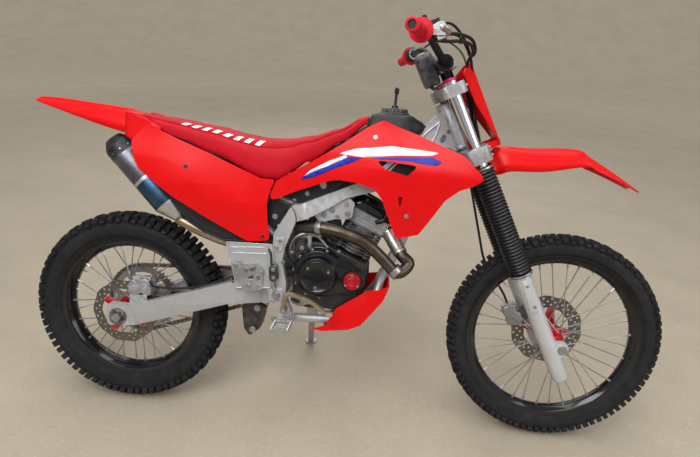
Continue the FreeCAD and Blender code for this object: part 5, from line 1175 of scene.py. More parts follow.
def hull(points):
    # The convex outline round flat points.
    ordered = sorted(set((round(u, 3), round(v, 3)) for u, v in points))
    sides = []
    for run in (ordered, ordered[::-1]):
        kept = []
        for point in run:
            while len(kept) > 1 and ((kept[-1][0] - kept[-2][0]) * (point[1] - kept[-2][1])
                                     - (kept[-1][1] - kept[-2][1]) * (point[0] - kept[-2][0])) <= 0:
                kept.pop()
            kept.append(point)
        sides.append(kept[:-1])
    return sides[0] + sides[1]


def shrunk(outline, amount):
    # A convex outline moved inwards.
    middleU = sum(u for u, v in outline) / len(outline)
    middleV = sum(v for u, v in outline) / len(outline)
    made = []
    for u, v in outline:
        reach = math.hypot(u - middleU, v - middleV)
        made.append((middleU + (u - middleU) * (1 - amount / reach), middleV + (v - middleV) * (1 - amount / reach)))
    return made


def tray(outline, levels, plane="side"):
    # Stacked insets of an outline: (level, inset) steps from its open back to its face.
    return loft([[onPlane(u, v, level, plane) for u, v in shrunk(outline, inset)] for level, inset in levels])


engine = {"caseLine": [(556, 501), (562, 421), (604, 396), (721, 396), (790, 440), (805, 520), (804, 563), (654, 629),
                       (604, 629), (562, 581)],
          "clutch": (648, 528, 84), "boss": (756, 516, 38), "ignition": (702, 515, 66), "right": -82, "left": 58,
          "coverBolts": 9, "boltStart": 38, "boltStep": 34, "boltInset": 7, "boltDepth": 25}


def cases():
    outline = rounded(engine["caseLine"], 18)
    halves = []
    for start, end in ((-12, engine["right"] + 0.4), (-11, engine["left"] - 0.4)):
        way = 1 if end > start else -1
        halves.append(tray(outline, [(start, 0), (start + way * 6, 0), (start + way * 7, 5), (end - way * 8, 6),
                                     (end - way * 3, 8), (end, 12)]))
    ribs = [block((x, -70, 397), (x + 5, 46, 420)) for x in (620, 650, 680, 710)]
    bikePart("crankCases", joined(halves + ribs), "darkCast", ("engine_cases",), bevel=1.5)
    bolts = []
    for u, v in shrunk(outline, 9)[::5]:
        bolts.append(capScrew((u, -19, v), (0, -1, 0), 4.4, 6))
        bolts.append(capScrew((u, -4, v), (0, 1, 0), 4.4, 6))
    plug = joined([boltHead((600, -83, 424), (0, -1, 0), 8, 6), boltHead((590, -83, 600), (0, -1, 0), 6, 5)])
    bikePart("caseBolts", joined(bolts + [plug]), "zincSteel", bevel=0.4)


def clutchCover():
    x, z, radius = engine["clutch"]
    bossX, bossZ, bossRadius = engine["boss"]
    outline = hull(circle(x, z, radius - 0.5, 48) + circle(bossX, bossZ, bossRadius - 0.5, 28))
    right = engine["right"]
    body = tray(outline, [(right, 0), (right - 12, 0), (right - 13, 3), (right - 28, 5), (right - 34, 9),
                          (right - 36, 16)])
    lip = lathe([(58, -36), (63, -36), (62, -44), (58, -50), (55, -57), (50, -58), (46, -55), (20, -54), (0.5, -54),
                 (0.5, -36)], 72)
    ring = lathe([(40, -53), (42, -56), (45, -56), (47, -53)], 64)
    boss = lathe([(37, 0), (37, -31), (34, -36), (0.5, -36), (0.5, 0)], 48)
    boltAngles = [math.radians(engine["boltStart"] + engine["boltStep"] * i) for i in range(engine["coverBolts"])]
    reach, top = radius - engine["boltInset"], right - engine["boltDepth"]
    bumps = [bar(around(reach, t, right, x, z), around(reach, t, top, x, z), 8, 20, 7) for t in boltAngles]
    web = tray(rounded([(700, 560), (760, 545), (764, 556), (712, 588)], 5), [(right - 26, 0), (right - 38, 1)])
    bikePart("clutchCover", joined([body, shifted(lip, x, right, z), shifted(ring, x, right, z),
                                    shifted(boss, bossX, right, bossZ), web] + bumps), "blackGloss",
             ("clutch_cover",), bevel=1.0, welded=False)
    bolts = [boltHead(around(reach, t, top, x, z), (0, -1, 0), 4.2, 5) for t in boltAngles]
    bolts += [boltHead(around(38, t, right - 54, x, z), (0, -1, 0), 3.6, 3) for t in (0.4, 2.5, 4.6)]
    bikePart("clutchBolts", joined(bolts), "zincSteel", bevel=0.3)


def filterCover():
    x, z = engine["boss"][:2]
    start = engine["right"] - 36
    cap = lathe([(28, 0), (28, -3), (26.6, -5), (26, -12), (24, -15.5), (12, -17), (0.5, -17), (0.5, 0)], 56)
    mark = lathe([(9, -16.6), (11, -18.4), (13.5, -18.2), (15, -16.4)], 40)
    bikePart("filterCover", shifted(joined([cap, mark]), x, start, z), "redMetal", ("filter_cover",), bevel=0.5)
    bolts = [boltHead(around(21.5, math.radians(t), start - 14.5, x, z), (0, -1, 0), 3.4, 4) for t in (90, 210, 330)]
    bikePart("filterBolts", joined(bolts), "zincSteel", bevel=0.3)


def ignitionCover():
    x, z, radius = engine["ignition"]
    bossCircle, bossTop = radius - engine["boltInset"], 17
    left = engine["left"]
    cap = lathe([(66, 0), (66, 12), (63, 15), (61, 30), (57, 38), (44, 41), (40, 41.6), (38, 39), (0.5, 39),
                 (0.5, 0)], 72)
    bosses, bolts = [], []
    for i in range(6):
        t = math.radians(20 + 60 * i)
        bosses.append(bar(around(bossCircle, t), around(bossCircle, t, bossTop), 6.5, 18))
        bolts.append(boltHead(around(bossCircle, t, left + bossTop, x, z), (0, 1, 0), 4, 5))
    bikePart("ignitionCover", shifted(joined([cap] + bosses), x, left, z), "blackSatin", ("ignition_cover",),
             bevel=0.8, welded=False)
    bikePart("ignitionBolts", joined(bolts), "zincSteel", bevel=0.3)


def finStack(bottom, step, count, depth, width):
    # Level fins with rounded corners and thin edges.
    outline = rounded([(-depth / 2, -width / 2), (depth / 2, -width / 2), (depth / 2, width / 2),
                       (-depth / 2, width / 2)], 16, 5)
    return [tray(outline, [(level - 3, 0.2), (level - 2.4, 0), (level - 0.6, 0), (level, 0.9)], "plan")
            for level in (bottom + step * (i + 1) for i in range(count))]


def barrel():
    core = bar((0, 0, 0), (0, 0, 92), 51, 48)
    studs = [bar((x, y, 0), (x, y, 92), 7, 16) for x in (-46, 46) for y in (-42, 42)]
    fins = finStack(0, 92 / 9, 9, 128, 118)
    addPiece("cylinderBarrel", joined([core] + studs + fins), onCylinder, "chassis", "engineGrey", ("cylinder",),
             smooth=40, welded=False)


def topEnd():
    core = bar((0, 0, 92), (0, 0, 138), 55, 48)
    fins = finStack(92, 9.2, 5, 132, 126)
    tunnel = block((-58, -56, 93), (58, 56, 137))
    port = bar((50, -32, 115), (66, -32, 115), 26, 32, 25)
    intake = bar((-50, 0, 112), (-65.5, 0, 112), 25, 32)
    addPiece("cylinderHead", joined([core, tunnel, port, intake] + fins), onCylinder, "chassis",
             "castSilver", ("cylinder_head",), smooth=40, bevel=0.5, welded=False)
    plug = bar((20, 62, 118), (26, 63, 121), 8, 6)
    nuts = [boltHead((58, -32 + 18 * s, 115 + 16 * t), (1, 0, 0), 5, 6) for s, t in ((1, 1), (-1, -1))]
    addPiece("headNuts", joined([plug] + nuts), onCylinder, "chassis", "zincSteel", bevel=0.3)


def headDome():
    rows = []
    for x, wide, high in ((-75, 0.72, 0.30), (-73, 0.86, 0.50), (-66, 0.95, 0.74), (-50, 0.99, 0.92), (-20, 1, 1),
                          (20, 1, 1), (50, 0.99, 0.93), (66, 0.95, 0.74), (73, 0.86, 0.5), (75, 0.72, 0.3)):
        row = []
        for y, z in ((-48, 0), (-48, 9), (-47, 20), (-43, 30), (-36, 38), (-26, 44), (-12, 45.8), (0, 46), (12, 45.8),
                     (26, 44), (36, 38), (43, 30), (47, 20), (48, 9), (48, 0)):
            row.append((x, y * wide, 138 + z * high))
        rows.append(row)
    flange = tray(rounded([(-75, -48), (75, -48), (75, 48), (-75, 48)], 14, 5), [(138, 0), (144, 0), (145, 1.5)],
                  "plan")
    addPiece("headDome", joined([loft(rows), flange]), onCylinder, "chassis", "blackGloss", ("head_cover",),
             smooth=50, welded=False)
    bolts = [boltHead((x, y, 144), (0, 0, 1), 4.5, 6) for x in (-66, 66) for y in (-40, 40)]
    caps = [capScrew((x, y, 172), (0, math.copysign(1, y), 0.9), 5, 5) for x in (-34, 34) for y in (-40, 40)]
    addPiece("domeBolts", joined(bolts + caps), onCylinder, "chassis", "zincSteel", bevel=0.3)


cases()
clutchCover()
filterCover()
ignitionCover()
barrel()
topEnd()
headDome()
print("engine ready")


# Exhaust

pipe = {"radius": 18.8, "port": (851.4, -32, 668.1), "sleeveStart": (861, -42, 659), "sleeveEnd": (903, -84, 604),
        "x": 282.0, "z": 552, "length": 646, "height": 122, "outer": 112, "joint": 9, "clamps": (8, 4),
        "line": [(1.0, 0.82, 0.213), (0.946, 1.0, 0.0), (0.879, 1.0, 0.311), (0.802, 1.0, 0.656), (0.717, 1.0, 0.869),
                 (0.576, 0.94, 1.0), (0.44, 0.643, 0.918), (0.276, 0.643, 0.68), (0.118, 0.68, 0.41)]}
can = {"front": Vector((191, -72, 670)), "rear": Vector((2, -72, 876))}


def exhaust():
    way = (can["rear"] - can["front"]).normalized()
    places = [pipe["port"], pipe["sleeveStart"], pipe["sleeveEnd"]]
    places += [(pipe["x"] + a * pipe["length"], -c * pipe["outer"], pipe["z"] + u * pipe["height"])
               for a, c, u in pipe["line"]]
    joint, radius = pipe["joint"], pipe["radius"]
    front = tube(places[:joint + 1], radius, 28, 8)
    rear = tube(places[joint - 1:] + [can["front"] - way * 25, can["front"]], radius - 0.6, 28, 8)
    bikePart("headerPipe", front, "pipeSteel", ("exhaust_header",), smooth=60)
    bikePart("midPipe", rear, "midPipe", smooth=60)
    first, last = Vector(places[1]), Vector(places[2])
    sleeve = along([(19.5, -6), (22, -6), (24, -4), (24, 0), (22.6, 2), (22.6, 70), (23.4, 72), (22.4, 76),
                    (19.5, 76)], first, last)
    bikePart("heatSleeve", sleeve, "sleeveSteel", smooth=40)
    clamps = []
    for i in pipe["clamps"]:
        here, there = Vector(places[i]), Vector(places[i + 1])
        clamps.append(along([(19, 0), (22.5, 0), (23, 2), (23, 16), (22.5, 18), (19, 18)], here, there))
        clamps.append(boltHead(here + (there - here).normalized() * 9 + Vector((0, 0, -23)), (0, -1, 0), 5, 10))
    bikePart("pipeClamps", joined(clamps), "zincSteel", bevel=0.5)


def muffler():
    start, end = can["front"], can["rear"]
    length = (end - start).length
    cone = along([(19, 0), (21.5, 0), (22.5, 3), (26, 10), (34, 30), (41, 44), (45, 54), (45.4, 58), (30, 58),
                  (17, 4)], start, end, 56)
    blue = along([(40, 56), (45.2, 56), (45.8, 58), (45.8, 152), (45.2, 154), (40, 154)], start, end, 56)
    sleeve = along([(40, 153), (45.3, 153), (45.6, 155), (45.6, length - 4), (45.2, length - 2), (40, length - 2)],
                   start, end, 56)
    band = along([(42, 149), (45.9, 149), (46, 150), (46, 158), (45.9, 159), (42, 159)], start, end, 56)
    bikePart("silencerSleeve", sleeve, "canSteel", ("silencer",), smooth=40)
    bikePart("silencerBlue", blue, "blueSteel", smooth=40)
    bikePart("silencerCone", cone, "brushedMetal", smooth=40)
    bikePart("silencerBands", band, "brushedMetal", smooth=40)
    cap = along([(21, -26), (42, -26), (46.2, -26), (46.4, -24), (46.4, -1), (45.6, 4), (44, 10), (38, 20), (31, 28),
                 (28, 33), (24, 33.8), (21, 32), (20.2, 28), (20.2, 6)], end, end + (end - start), 56)
    outlet = along([(17.6, 2), (20.2, 2), (20.2, 33.6), (19, 34), (17.8, 33.4)], end, end + (end - start), 48)
    bikePart("silencerCap", cap, "blackSatin", ("silencer_cap",), smooth=40)
    bikePart("silencerOutlet", outlet, "pipeSteel", smooth=40)
    line, across, other = axes(end - start)
    rivets = []
    for t in turns(10):
        out = across * math.cos(t) + other * math.sin(t)
        rivets.append(bar(end + line * -13 + out * 44, end + line * -13 + out * 47.2, 2.6, 10, 2.0))
    bikePart("silencerRivets", joined(rivets), "zincSteel")


exhaust()
muffler()
print("exhaust ready")


# Frame and what is bolted to it

def softened(node, width):
    # Rounds the edges of a carried-over node.
    item = frame["nodes"][node]
    weld = item.modifiers.new("weld", "WELD")
    weld.merge_threshold = weldReach
    softenEdges(item, width, 32)


for nodeName, edgeWidth in (("frame_spars", 3.0), ("pivot_plates", 1.0), ("frame_cradle", 0.8), ("subframe", 0.6),
                            ("swingarm", 3.0), ("fork_clamps", 2.0), ("engine_guard", 1.2), ("mud_flap", 0.8),
                            ("airbox", 2.0), ("fork_sliders", 1.2), ("number_plate", 1.0), ("rear_axle", 0.6),
                            ("front_axle", 0.6), ("side_stand", 0.8), ("handlebar", 0.5)):
    softened(nodeName, edgeWidth)


def frameDetails():
    # Seam, brackets and bolts on the right pivot plate and spar, mirrored to the left.
    seam = tube([(x, -119.6, z) for x, z in ((552, 742), (566, 724), (573, 700), (571, 676))], 1.6, 8)
    upper = tray(rounded([(505, 590), (536, 596), (540, 640), (512, 636)], 7), [(-120, 0), (-124, 0), (-125, 1)])
    lower = tray(rounded([(497, 430), (545, 436), (540, 474), (500, 470)], 8), [(-120, 0), (-124.5, 0), (-126, 1.5)])
    bolts = [boltHead((x, level, z), (0, -1, 0), radius, radius * 0.9) for x, z, radius, level in (
        (516, 606, 6, -125), (527, 628, 5, -125), (520, 452, 11, -126), (516, 486, 6, -120), (537, 560, 5, -120),
        (514, 372, 7, -120), (604, 742, 5, -112), (734, 806, 5, -112))]
    bikePart("frameWelds", bothSides(upper, lower), "frameMetal", bevel=0.4)
    bikePart("frameBolts", bothSides(*bolts), "zincSteel", bevel=0.4)
    bikePart("frameSeams", bothSides(seam), "blackSatin", bevel=0.4)


heelGuard = {"face": -124.2, "castFace": -130.5}


def heelGuards():
    # Embossed lines on each guard, and the brake's pump with its rod and hose on the right one.
    lines = []
    for a, b in (((372, 596), (480, 604)), ((378, 578), (486, 584)), ((392, 500), (470, 494))):
        lines.append(tube([(a[0], heelGuard["face"], a[1]), (b[0], heelGuard["face"], b[1])], 1.8, 8, 2))
    rim = rounded([(358, 612), (500, 614), (508, 564), (502, 474), (388, 465), (386, 540), (366, 556)], 8)
    edge = joined([bar((u, -124.4, v), (rim[(i + 1) % len(rim)][0], -124.4, rim[(i + 1) % len(rim)][1]), 1.5, 6)
                   for i, (u, v) in enumerate(rim)])
    bikePart("heelLines", bothSides(*lines, edge), "frameMetal", smooth=60)
    # The cast bracket over the guard's lower half, with its windows and bolts; the black plates at the windows'
    # floors are painted shade
    cast = rounded([(374, 552), (404, 557), (412, 545), (461, 553), (480, 534), (476, 467), (414, 457), (409, 478),
                    (385, 500), (379, 526)], 7)
    windows = [rounded(outline, 3, 3) for outline in (
        [(433, 531), (457, 542), (455, 526), (440, 524)], [(431, 507), (450, 513), (447, 493), (434, 496)],
        [(456, 508), (470, 513), (469, 499), (460, 496)])]
    bikePart("guardCast", bothSides(flatShape([cast] + windows, heelGuard["castFace"], 7)), "castSilver", bevel=1.0)
    # Black plates in the windows: painted shade in the recesses
    bikePart("guardWindowShade", bothSides(*[plate(outline, -125.2, 1) for outline in windows]), "blackSatin")
    knobs = sideBolts(heelGuard["castFace"], 5, ((424, 528, 6), (433, 477, 6), (463, 477, 5), (390, 540, 6),
                                                 (394, 512, 5), (472, 524, 4)))
    bikePart("guardBolts", bothSides(*knobs), "zincSteel", bevel=0.4)
    body = tray(rounded([(500, 500), (528, 506), (522, 556), (496, 548)], 6), [(-124, 0), (-140, 1), (-144, 4)])
    rodEnd = joined([bar((508, -134, 498), (516, -134, 470), 5, 16), boltHead((512, -144, 540), (0, -1, 0), 5, 4),
                     boltHead((514, -144, 514), (0, -1, 0), 5, 4)])
    bikePart("brakePump", body, "blackSatin", bevel=1.0)
    bikePart("pumpRod", rodEnd, "zincSteel", bevel=0.4)
    hose = tube([(506, -140, 552), (498, -128, 590), (478, -112, 600), (440, -100, 560), (380, -112, 500),
                 (250, -118.5, 452), (130, -112, 440), (96, -88, 448)], 3.4, 10, 6)
    bikePart("rearBrakeHose", hose, "hoseRubber", smooth=60)


peg = {"low": 361, "thick": 11, "teeth": 8, "toothPitch": 9.4, "firstTooth": -136, "toothRows": (520.5, 570.5)}


def pegs():
    # An open frame with two cross bars, teeth on both long edges, and its mount.
    teeth = []
    outline = rounded([(520, -128), (520, -206), (528, -210), (568, -210), (576, -206), (576, -128)], 6)
    inner = rounded([(527, -140), (527, -200), (569, -200), (569, -140)], 5)
    ring = flatShape([outline, inner], peg["low"], peg["thick"], "plan")
    bars = [block((527, y, peg["low"]), (569, y + 6, 371)) for y in (-163, -184)]
    for i in range(peg["teeth"]):
        y = peg["firstTooth"] - i * peg["toothPitch"]
        for x in peg["toothRows"]:
            teeth.append(loft([[(x, y - 3.4, 371.5), (x + 5, y - 3.4, 371.5), (x + 5, y + 3.4, 371.5),
                                (x, y + 3.4, 371.5)],
                               [(x + 1.5, y - 0.8, 376), (x + 3.5, y - 0.8, 376), (x + 3.5, y + 0.8, 376),
                                (x + 1.5, y + 0.8, 376)]]))
    mount = joined([block((531, -136, 354), (566, -120.4, 382)), bar((526, -130, 368), (572, -130, 368), 6, 16)])
    bikePart("footPegs", bothSides(ring, mount, *bars, *teeth), "castSilver", ("footpegs",), bevel=0.6, welded=False)


def pedal():
    # The brake pedal's flat arm and its toothed toe piece.
    line = smoothPath([(545, 0, 407), (559, 0, 466), (599, 0, 461), (638, 0, 447), (679, 0, 420), (703, 0, 415)], 6)
    top = [(p.x, p.z) for p in line]
    rows = []
    for i, (x, z) in enumerate(top):
        ahead = top[min(i + 1, len(top) - 1)]
        back = top[max(i - 1, 0)]
        way = Vector((ahead[0] - back[0], ahead[1] - back[1])).normalized()
        side = Vector((-way.y, way.x)) * 7.6
        rows.append([(x + side.x, -146.4, z + side.y - 2), (x + side.x * 0.6, -157.4, z + side.y * 0.6 - 2),
                     (x - side.x * 0.6, -157.4, z - side.y * 0.6 - 2), (x - side.x, -146.4, z - side.y - 2)])
    arm = loft(rows)
    toe = joined([block((684, -157.8, 409), (704.5, -146.2, 413))]
                 + [block((685 + 5 * i, -157.8, 413), (687.6 + 5 * i, -146.2, 418)) for i in range(4)])
    shaft = bar((550, -156, 410), (550, -121, 410), 8.8, 24)
    bikePart("brakePedal", joined([arm, toe, shaft]), "tanPlate", ("brake_pedal",), bevel=0.8, welded=False)
    bikePart("pedalBolt", boltHead((550, -156, 410), (0, -1, 0), 6, 4), "zincSteel", bevel=0.4)


def lever():
    shaft = bar((625, 58.6, 412), (625, 140, 412), 6.8, 20)
    eye = bar((625, 127.5, 412), (625, 140.5, 412), 11, 24)
    arm = tube([(625, 134, 412), (662, 135, 416), (700, 134, 428), (735, 134, 438)], 6.4, 14, 6, 5.2)
    toe = joined([bar((735, 134, 438), (735, 165.6, 438), 5, 16)]
                 + [bar((735, 142 + 6 * i, 438), (735, 145 + 6 * i, 438), 6.8, 16) for i in range(4)])
    bikePart("gearLever", joined([shaft, eye, arm, toe]), "castSilver", ("gear_lever",), bevel=0.5, welded=False)


frameDetails()
heelGuards()
pegs()
pedal()
lever()
print("frame and foot controls ready")


# Fork, drawn in the steering axis's own frame

def legPoint(z):
    return (stance["legX"], -stance["legY"], z)


def legs(profile, low, high):
    # A profile of (radius, height above low) on both fork legs.
    return bothSides(along(profile, legPoint(low), legPoint(high), 48))


gaiter = {"low": 272, "high": 630, "folds": 32, "pitch": 10.55, "start": 10}
forkLeg = {"tube": 21.4, "bore": 19, "low": -99, "top": 893, "boltHeights": (653, 677, 867)}


def fork():
    # Gaiters, tubes, top caps, sliders with their bolts, and the clamps' bolts.
    ribs = [(30, 0), (34.6, 0.6), (34.6, 9)]
    for i in range(gaiter["folds"]):
        base = gaiter["start"] + gaiter["pitch"] * i
        ribs += [(29.4, base), (33.2, base + 3), (34.6, base + 5.2), (33.2, base + 7.4)]
    ribs += [(30.4, 349), (33.4, 350), (33.4, 357.6), (21.7, 358), (21.7, 0)]
    forkPart("gaiters", legs(ribs, gaiter["low"], gaiter["high"]), "softRubber", ("fork_gaiters",), smooth=20)
    bands = [along([(34, 0), (35, 0.4), (35, 5.6), (34, 6)], legPoint(at), legPoint(at + 1), 48) for at in (274, 622)]
    forkPart("gaiterBands", bothSides(*bands), "zincSteel")
    length, outside, inside = forkLeg["top"] - gaiter["low"], forkLeg["tube"], forkLeg["bore"]
    tubes = legs([(outside, 0), (outside, length), (inside, length), (inside, 0)], gaiter["low"], forkLeg["top"])
    forkPart("stanchions", tubes, "chrome", ("fork_tubes",))
    caps = [along([(0.5, 0), (24.6, 0), (24.8, 1), (24.8, 5), (23, 7), (16, 7.4), (15, 9.8), (0.5, 9.8)],
                  legPoint(forkLeg["top"]), legPoint(forkLeg["top"] + 1), 48),
            bar(legPoint(899), legPoint(902.8), 12, 6)]
    forkPart("forkCaps", bothSides(*caps), "pinkMetal", bevel=0.4)
    leg = along([(0.5, 0), (20, 0), (24, 3), (26, 10), (26.5, 60), (25.6, 130), (25.8, 300), (26.6, 340), (27.9, 348),
                 (27.9, 370), (26, 371), (22, 371), (22, 368), (0.5, 368)], legPoint(forkLeg["low"]),
                legPoint(gaiter["low"]), 56)
    axle = stance["axleLead"]
    shoe = tray(rounded([(20, -31), (axle - 2, -22), (axle + 20, -10), (axle + 20, 10), (axle, 20), (28, 60),
                         (16, 60)], 10), [(-79.5, 2), (-83, 0), (-115, 0), (-118.6, 3)])
    brace = tray(rounded([(4, 150), (30, 150), (34, 262), (12, 262)], 6), [(-118, 0), (-126, 1), (-127, 2.5)])
    forkPart("sliders", bothSides(leg, shoe, brace), "forkPaint", ("fork_sliders",), bevel=1.0, welded=False)
    bolts = [boltHead((axle + side, -90 + 16 * i, -20), (0, 0, -1), 3.6, 6) for i in (-1, 0) for side in (-4, 9)]
    bolts += [boltHead((22, -127, z), (0, -1, 0), 4, 3) for z in (170, 240)]
    bolts.append(boltHead((axle, -118, 0), (0, -1, 0), 12, 5))
    forkPart("sliderBolts", bothSides(*bolts), "zincSteel", bevel=0.4)
    clampBolts = [capScrew((60, side * (99 + k), z), (1, 0, 0), 4.6, 4) for side in (-1, 1) for k in (-14, 14)
                  for z in forkLeg["boltHeights"]]
    stem = [boltHead((0, 0, 884), (0, 0, 1), 17, 9),
            along([(4, 0), (21, 0), (21, 2), (4, 2)], (0, 0, 884), (0, 0, 885), 32)]
    forkPart("clampBolts", joined(clampBolts + stem), "zincSteel", bevel=0.4)


fork()


# Handlebar and its controls

bars = {"inner": Vector((-21.9, -281.5, 1035.7)), "line": Vector((-0.2216, -0.9742, 0.0420)).normalized(),
        "gripRibs": 22, "ribPitch": 5}


def atGrip(distance, x=0, y=0, z=0):
    return bars["inner"] + bars["line"] * distance + Vector((x, y, z))


def cockpit():
    # Grips, switch housings, levers on their perches, and the brake fluid's cup.
    profile = [(11.2, -0.2), (30.6, -0.2), (31, 0.6), (31, 4.6), (30, 6), (20, 7), (17, 9)]
    for i in range(bars["gripRibs"]):
        base = bars["ribPitch"] * i
        profile += [(16.9, 12 + base), (16.9, 14.6 + base), (15.8, 15 + base), (15.8, 16.6 + base)]
    profile += [(16.9, 123), (17, 130), (14, 132.4), (11.2, 132.4)]
    forkPart("gripSleeves", bothSides(along(profile, atGrip(0), atGrip(1), 40)), "gripRubber", ("grips",), smooth=30)
    item = along([(11.2, 0), (22.4, 0), (23.4, 1.5), (23.8, 12), (23.8, 22), (20, 26), (18, 30), (17, 40), (16, 41),
                  (11.2, 41)], atGrip(-0.6), atGrip(-1.6), 40)
    clamp = joined([along([(11.2, 30), (17.6, 30), (17.6, 41.6), (11.2, 41.6)], atGrip(0), atGrip(-1), 32),
                    block(atGrip(-41, 6, 0, -9), atGrip(-31, 34, 0, 9))])
    knee = atGrip(0, 60, 0, -34)
    pivot = atGrip(-26, 54, 0, -28)
    blade = []
    spine = [pivot, knee, knee + bars["line"] * 40 + Vector((3, 0, 0)), knee + bars["line"] * 90,
             knee + bars["line"] * 132 + Vector((1, 0, 0)), knee + bars["line"] * 150]
    path = smoothPath(spine, 5)
    for i, here in enumerate(path):
        share = i / (len(path) - 1)
        deep, thin = 8.4 - 2.6 * share, 4.6
        blade.append([tuple(here + Vector((deep * math.cos(t), 0, thin * math.sin(t)))) for t in turns(10)])
    ball = along([(0.2, -6.4), (4, -5), (6, -1.6), (6, 1.6), (4, 5), (0.2, 6.4)], path[-1] - bars["line"] * 4,
                 path[-1], 16)
    perch = loft([[tuple(atGrip(at, x, 0, z)) for x, z in ((8, -14), (wide, -34), (wide + 6, -22), (12, 8))]
                  for at, wide in ((-42, 30), (-34, 44), (-18, 52), (-10, 50))])
    levers = joined([loft(blade), ball])
    forkPart("rightHousing", item, "castSilver", ("bar_controls",), bevel=0.5)
    forkPart("leftHousing", otherSide(item), "blackSatin", bevel=0.5)
    forkPart("leverBlades", bothSides(levers), "brushedMetal", smooth=50)
    forkPart("leverPerches", bothSides(clamp, perch), "castSilver", bevel=1.2, welded=False)
    pins = [boltHead(pivot + Vector((0, 0, 4)), (0, 0, 1), 5, 5), boltHead(atGrip(-36, 22, 0, 9), (0, 0, 1), 3.6, 4)]
    forkPart("leverPins", bothSides(*pins), "zincSteel", bevel=0.3)
    top = atGrip(-40, 6, 0, 12)
    shoulder, brim = top + Vector((0, 0, 20)), top + Vector((0, 0, 25.4))
    cup = joined([bar(top, shoulder, 14.4, 32, 14.8), bar(shoulder, brim, 14.9, 32, 13.8)])
    pod = tray(rounded([(-38, 262), (-2, 254), (2, 284), (-30, 292)], 6),
               [(1030, 2), (1034, 0), (1054, 0), (1059, 3)], "plan")
    forkPart("brakeCup", cup, "blackGloss", bevel=0.6)
    forkPart("switchPod", pod, "blackPlastic", bevel=1.0)
    button = bar(atGrip(-22, -24), atGrip(-22, -20), 5, 16)
    forkPart("stopButton", otherSide(button), "redPlastic", bevel=0.5)


def barMiddle():
    # Pad, clamps and the hoses from the levers.
    pad = along([(0.5, 0), (19, 0), (22.4, 2), (23.6, 8), (23.8, 75), (23.6, 142), (22.4, 148), (19, 150),
                 (0.5, 150)], (34, -75, 950), (34, -74, 950), 32)
    forkPart("barPad", pad, "softRubber", smooth=60)
    rings = [along([(24, 0), (24.4, 0.5), (24.4, 3.5), (24, 4)], (34, y, 950), (34, y + 1, 950), 32)
             for y in (-50, -2, 46)]
    forkPart("padStraps", joined(rings), "blackSatin")
    risers, bolts = [], []
    for y in (-31, 31):
        risers.append(along([(0.5, 0), (14.8, 0), (14.8, 4), (12, 8), (12, 44), (14.8, 48), (0.5, 48)],
                            (34, y, 884), (34, y, 885), 28))
        risers.append(tray(rounded([(14, y - 14), (54, y - 14), (54, y + 14), (14, y + 14)], 6),
                           [(926, 1), (928, 0), (946, 0), (950, 3)], "plan"))
        for x in (19, 49):
            bolts.append(capScrew((x, y, 950), (0, 0, 1), 4, 5))
    forkPart("barRisers", joined(risers), "castSilver", bevel=1.0, welded=False)
    forkPart("riserBolts", joined(bolts), "zincSteel", bevel=0.3)
    cable = [atGrip(-40, 20, 0, 4), (70, -180, 1030), (104, -96, 962), (96, -52, 880), (66, -44, 780), (52, -40, 694)]
    clutch = [(cable[0][0], -cable[0][1], cable[0][2]), (78, 176, 1036), (112, 88, 968), (98, 40, 880),
              (68, 30, 780), (50, 26, 694)]
    gas = [atGrip(-20, 12, 0, -22), (40, -200, 1010), (92, -110, 990), (108, -20, 905), (70, -8, 800), (44, -4, 694)]
    hoses = [tube(line, radius, 10, 6) for line, radius in ((cable, 3.6), (clutch, 3.0), (gas, 2.8))]
    forkPart("barHoses", joined(hoses), "hoseRubber", smooth=60)


board = {"half": 102, "low": 662, "high": 924, "face": 106, "flat": 51, "sweep": 36}


def numberBoard():
    # Screws and a raised border on the slim plate.
    half, low, high = board["half"], board["low"], board["high"]
    face = rounded([(-0.45 * half, low + 8), (0.45 * half, low + 8), (0.86 * half, low + 142),
                    (0.88 * half, high - 26), (0.5 * half, high - 8), (-0.5 * half, high - 8),
                    (-0.88 * half, high - 26), (-0.86 * half, low + 142)], 14)

    def bow(y):
        flat = board["flat"]
        return board["face"] if abs(y) < flat else board["face"] - board["sweep"] * (abs(y) - flat) / flat
    border = [(bow(y) + 0.2, y, z) for y, z in face]
    loop = joined([bar(border[i - 1], border[i], 1.5, 6) for i in range(len(border))])
    forkPart("plateBorder", loop, "redPlastic", smooth=60)
    screws = [boltHead((bow(y), y, z), (1, 0, 0), 5, 2.4) for y, z in ((-30, 688), (30, 688), (0, 900))]
    forkPart("plateScrews", joined(screws), "blackSatin", bevel=0.3)


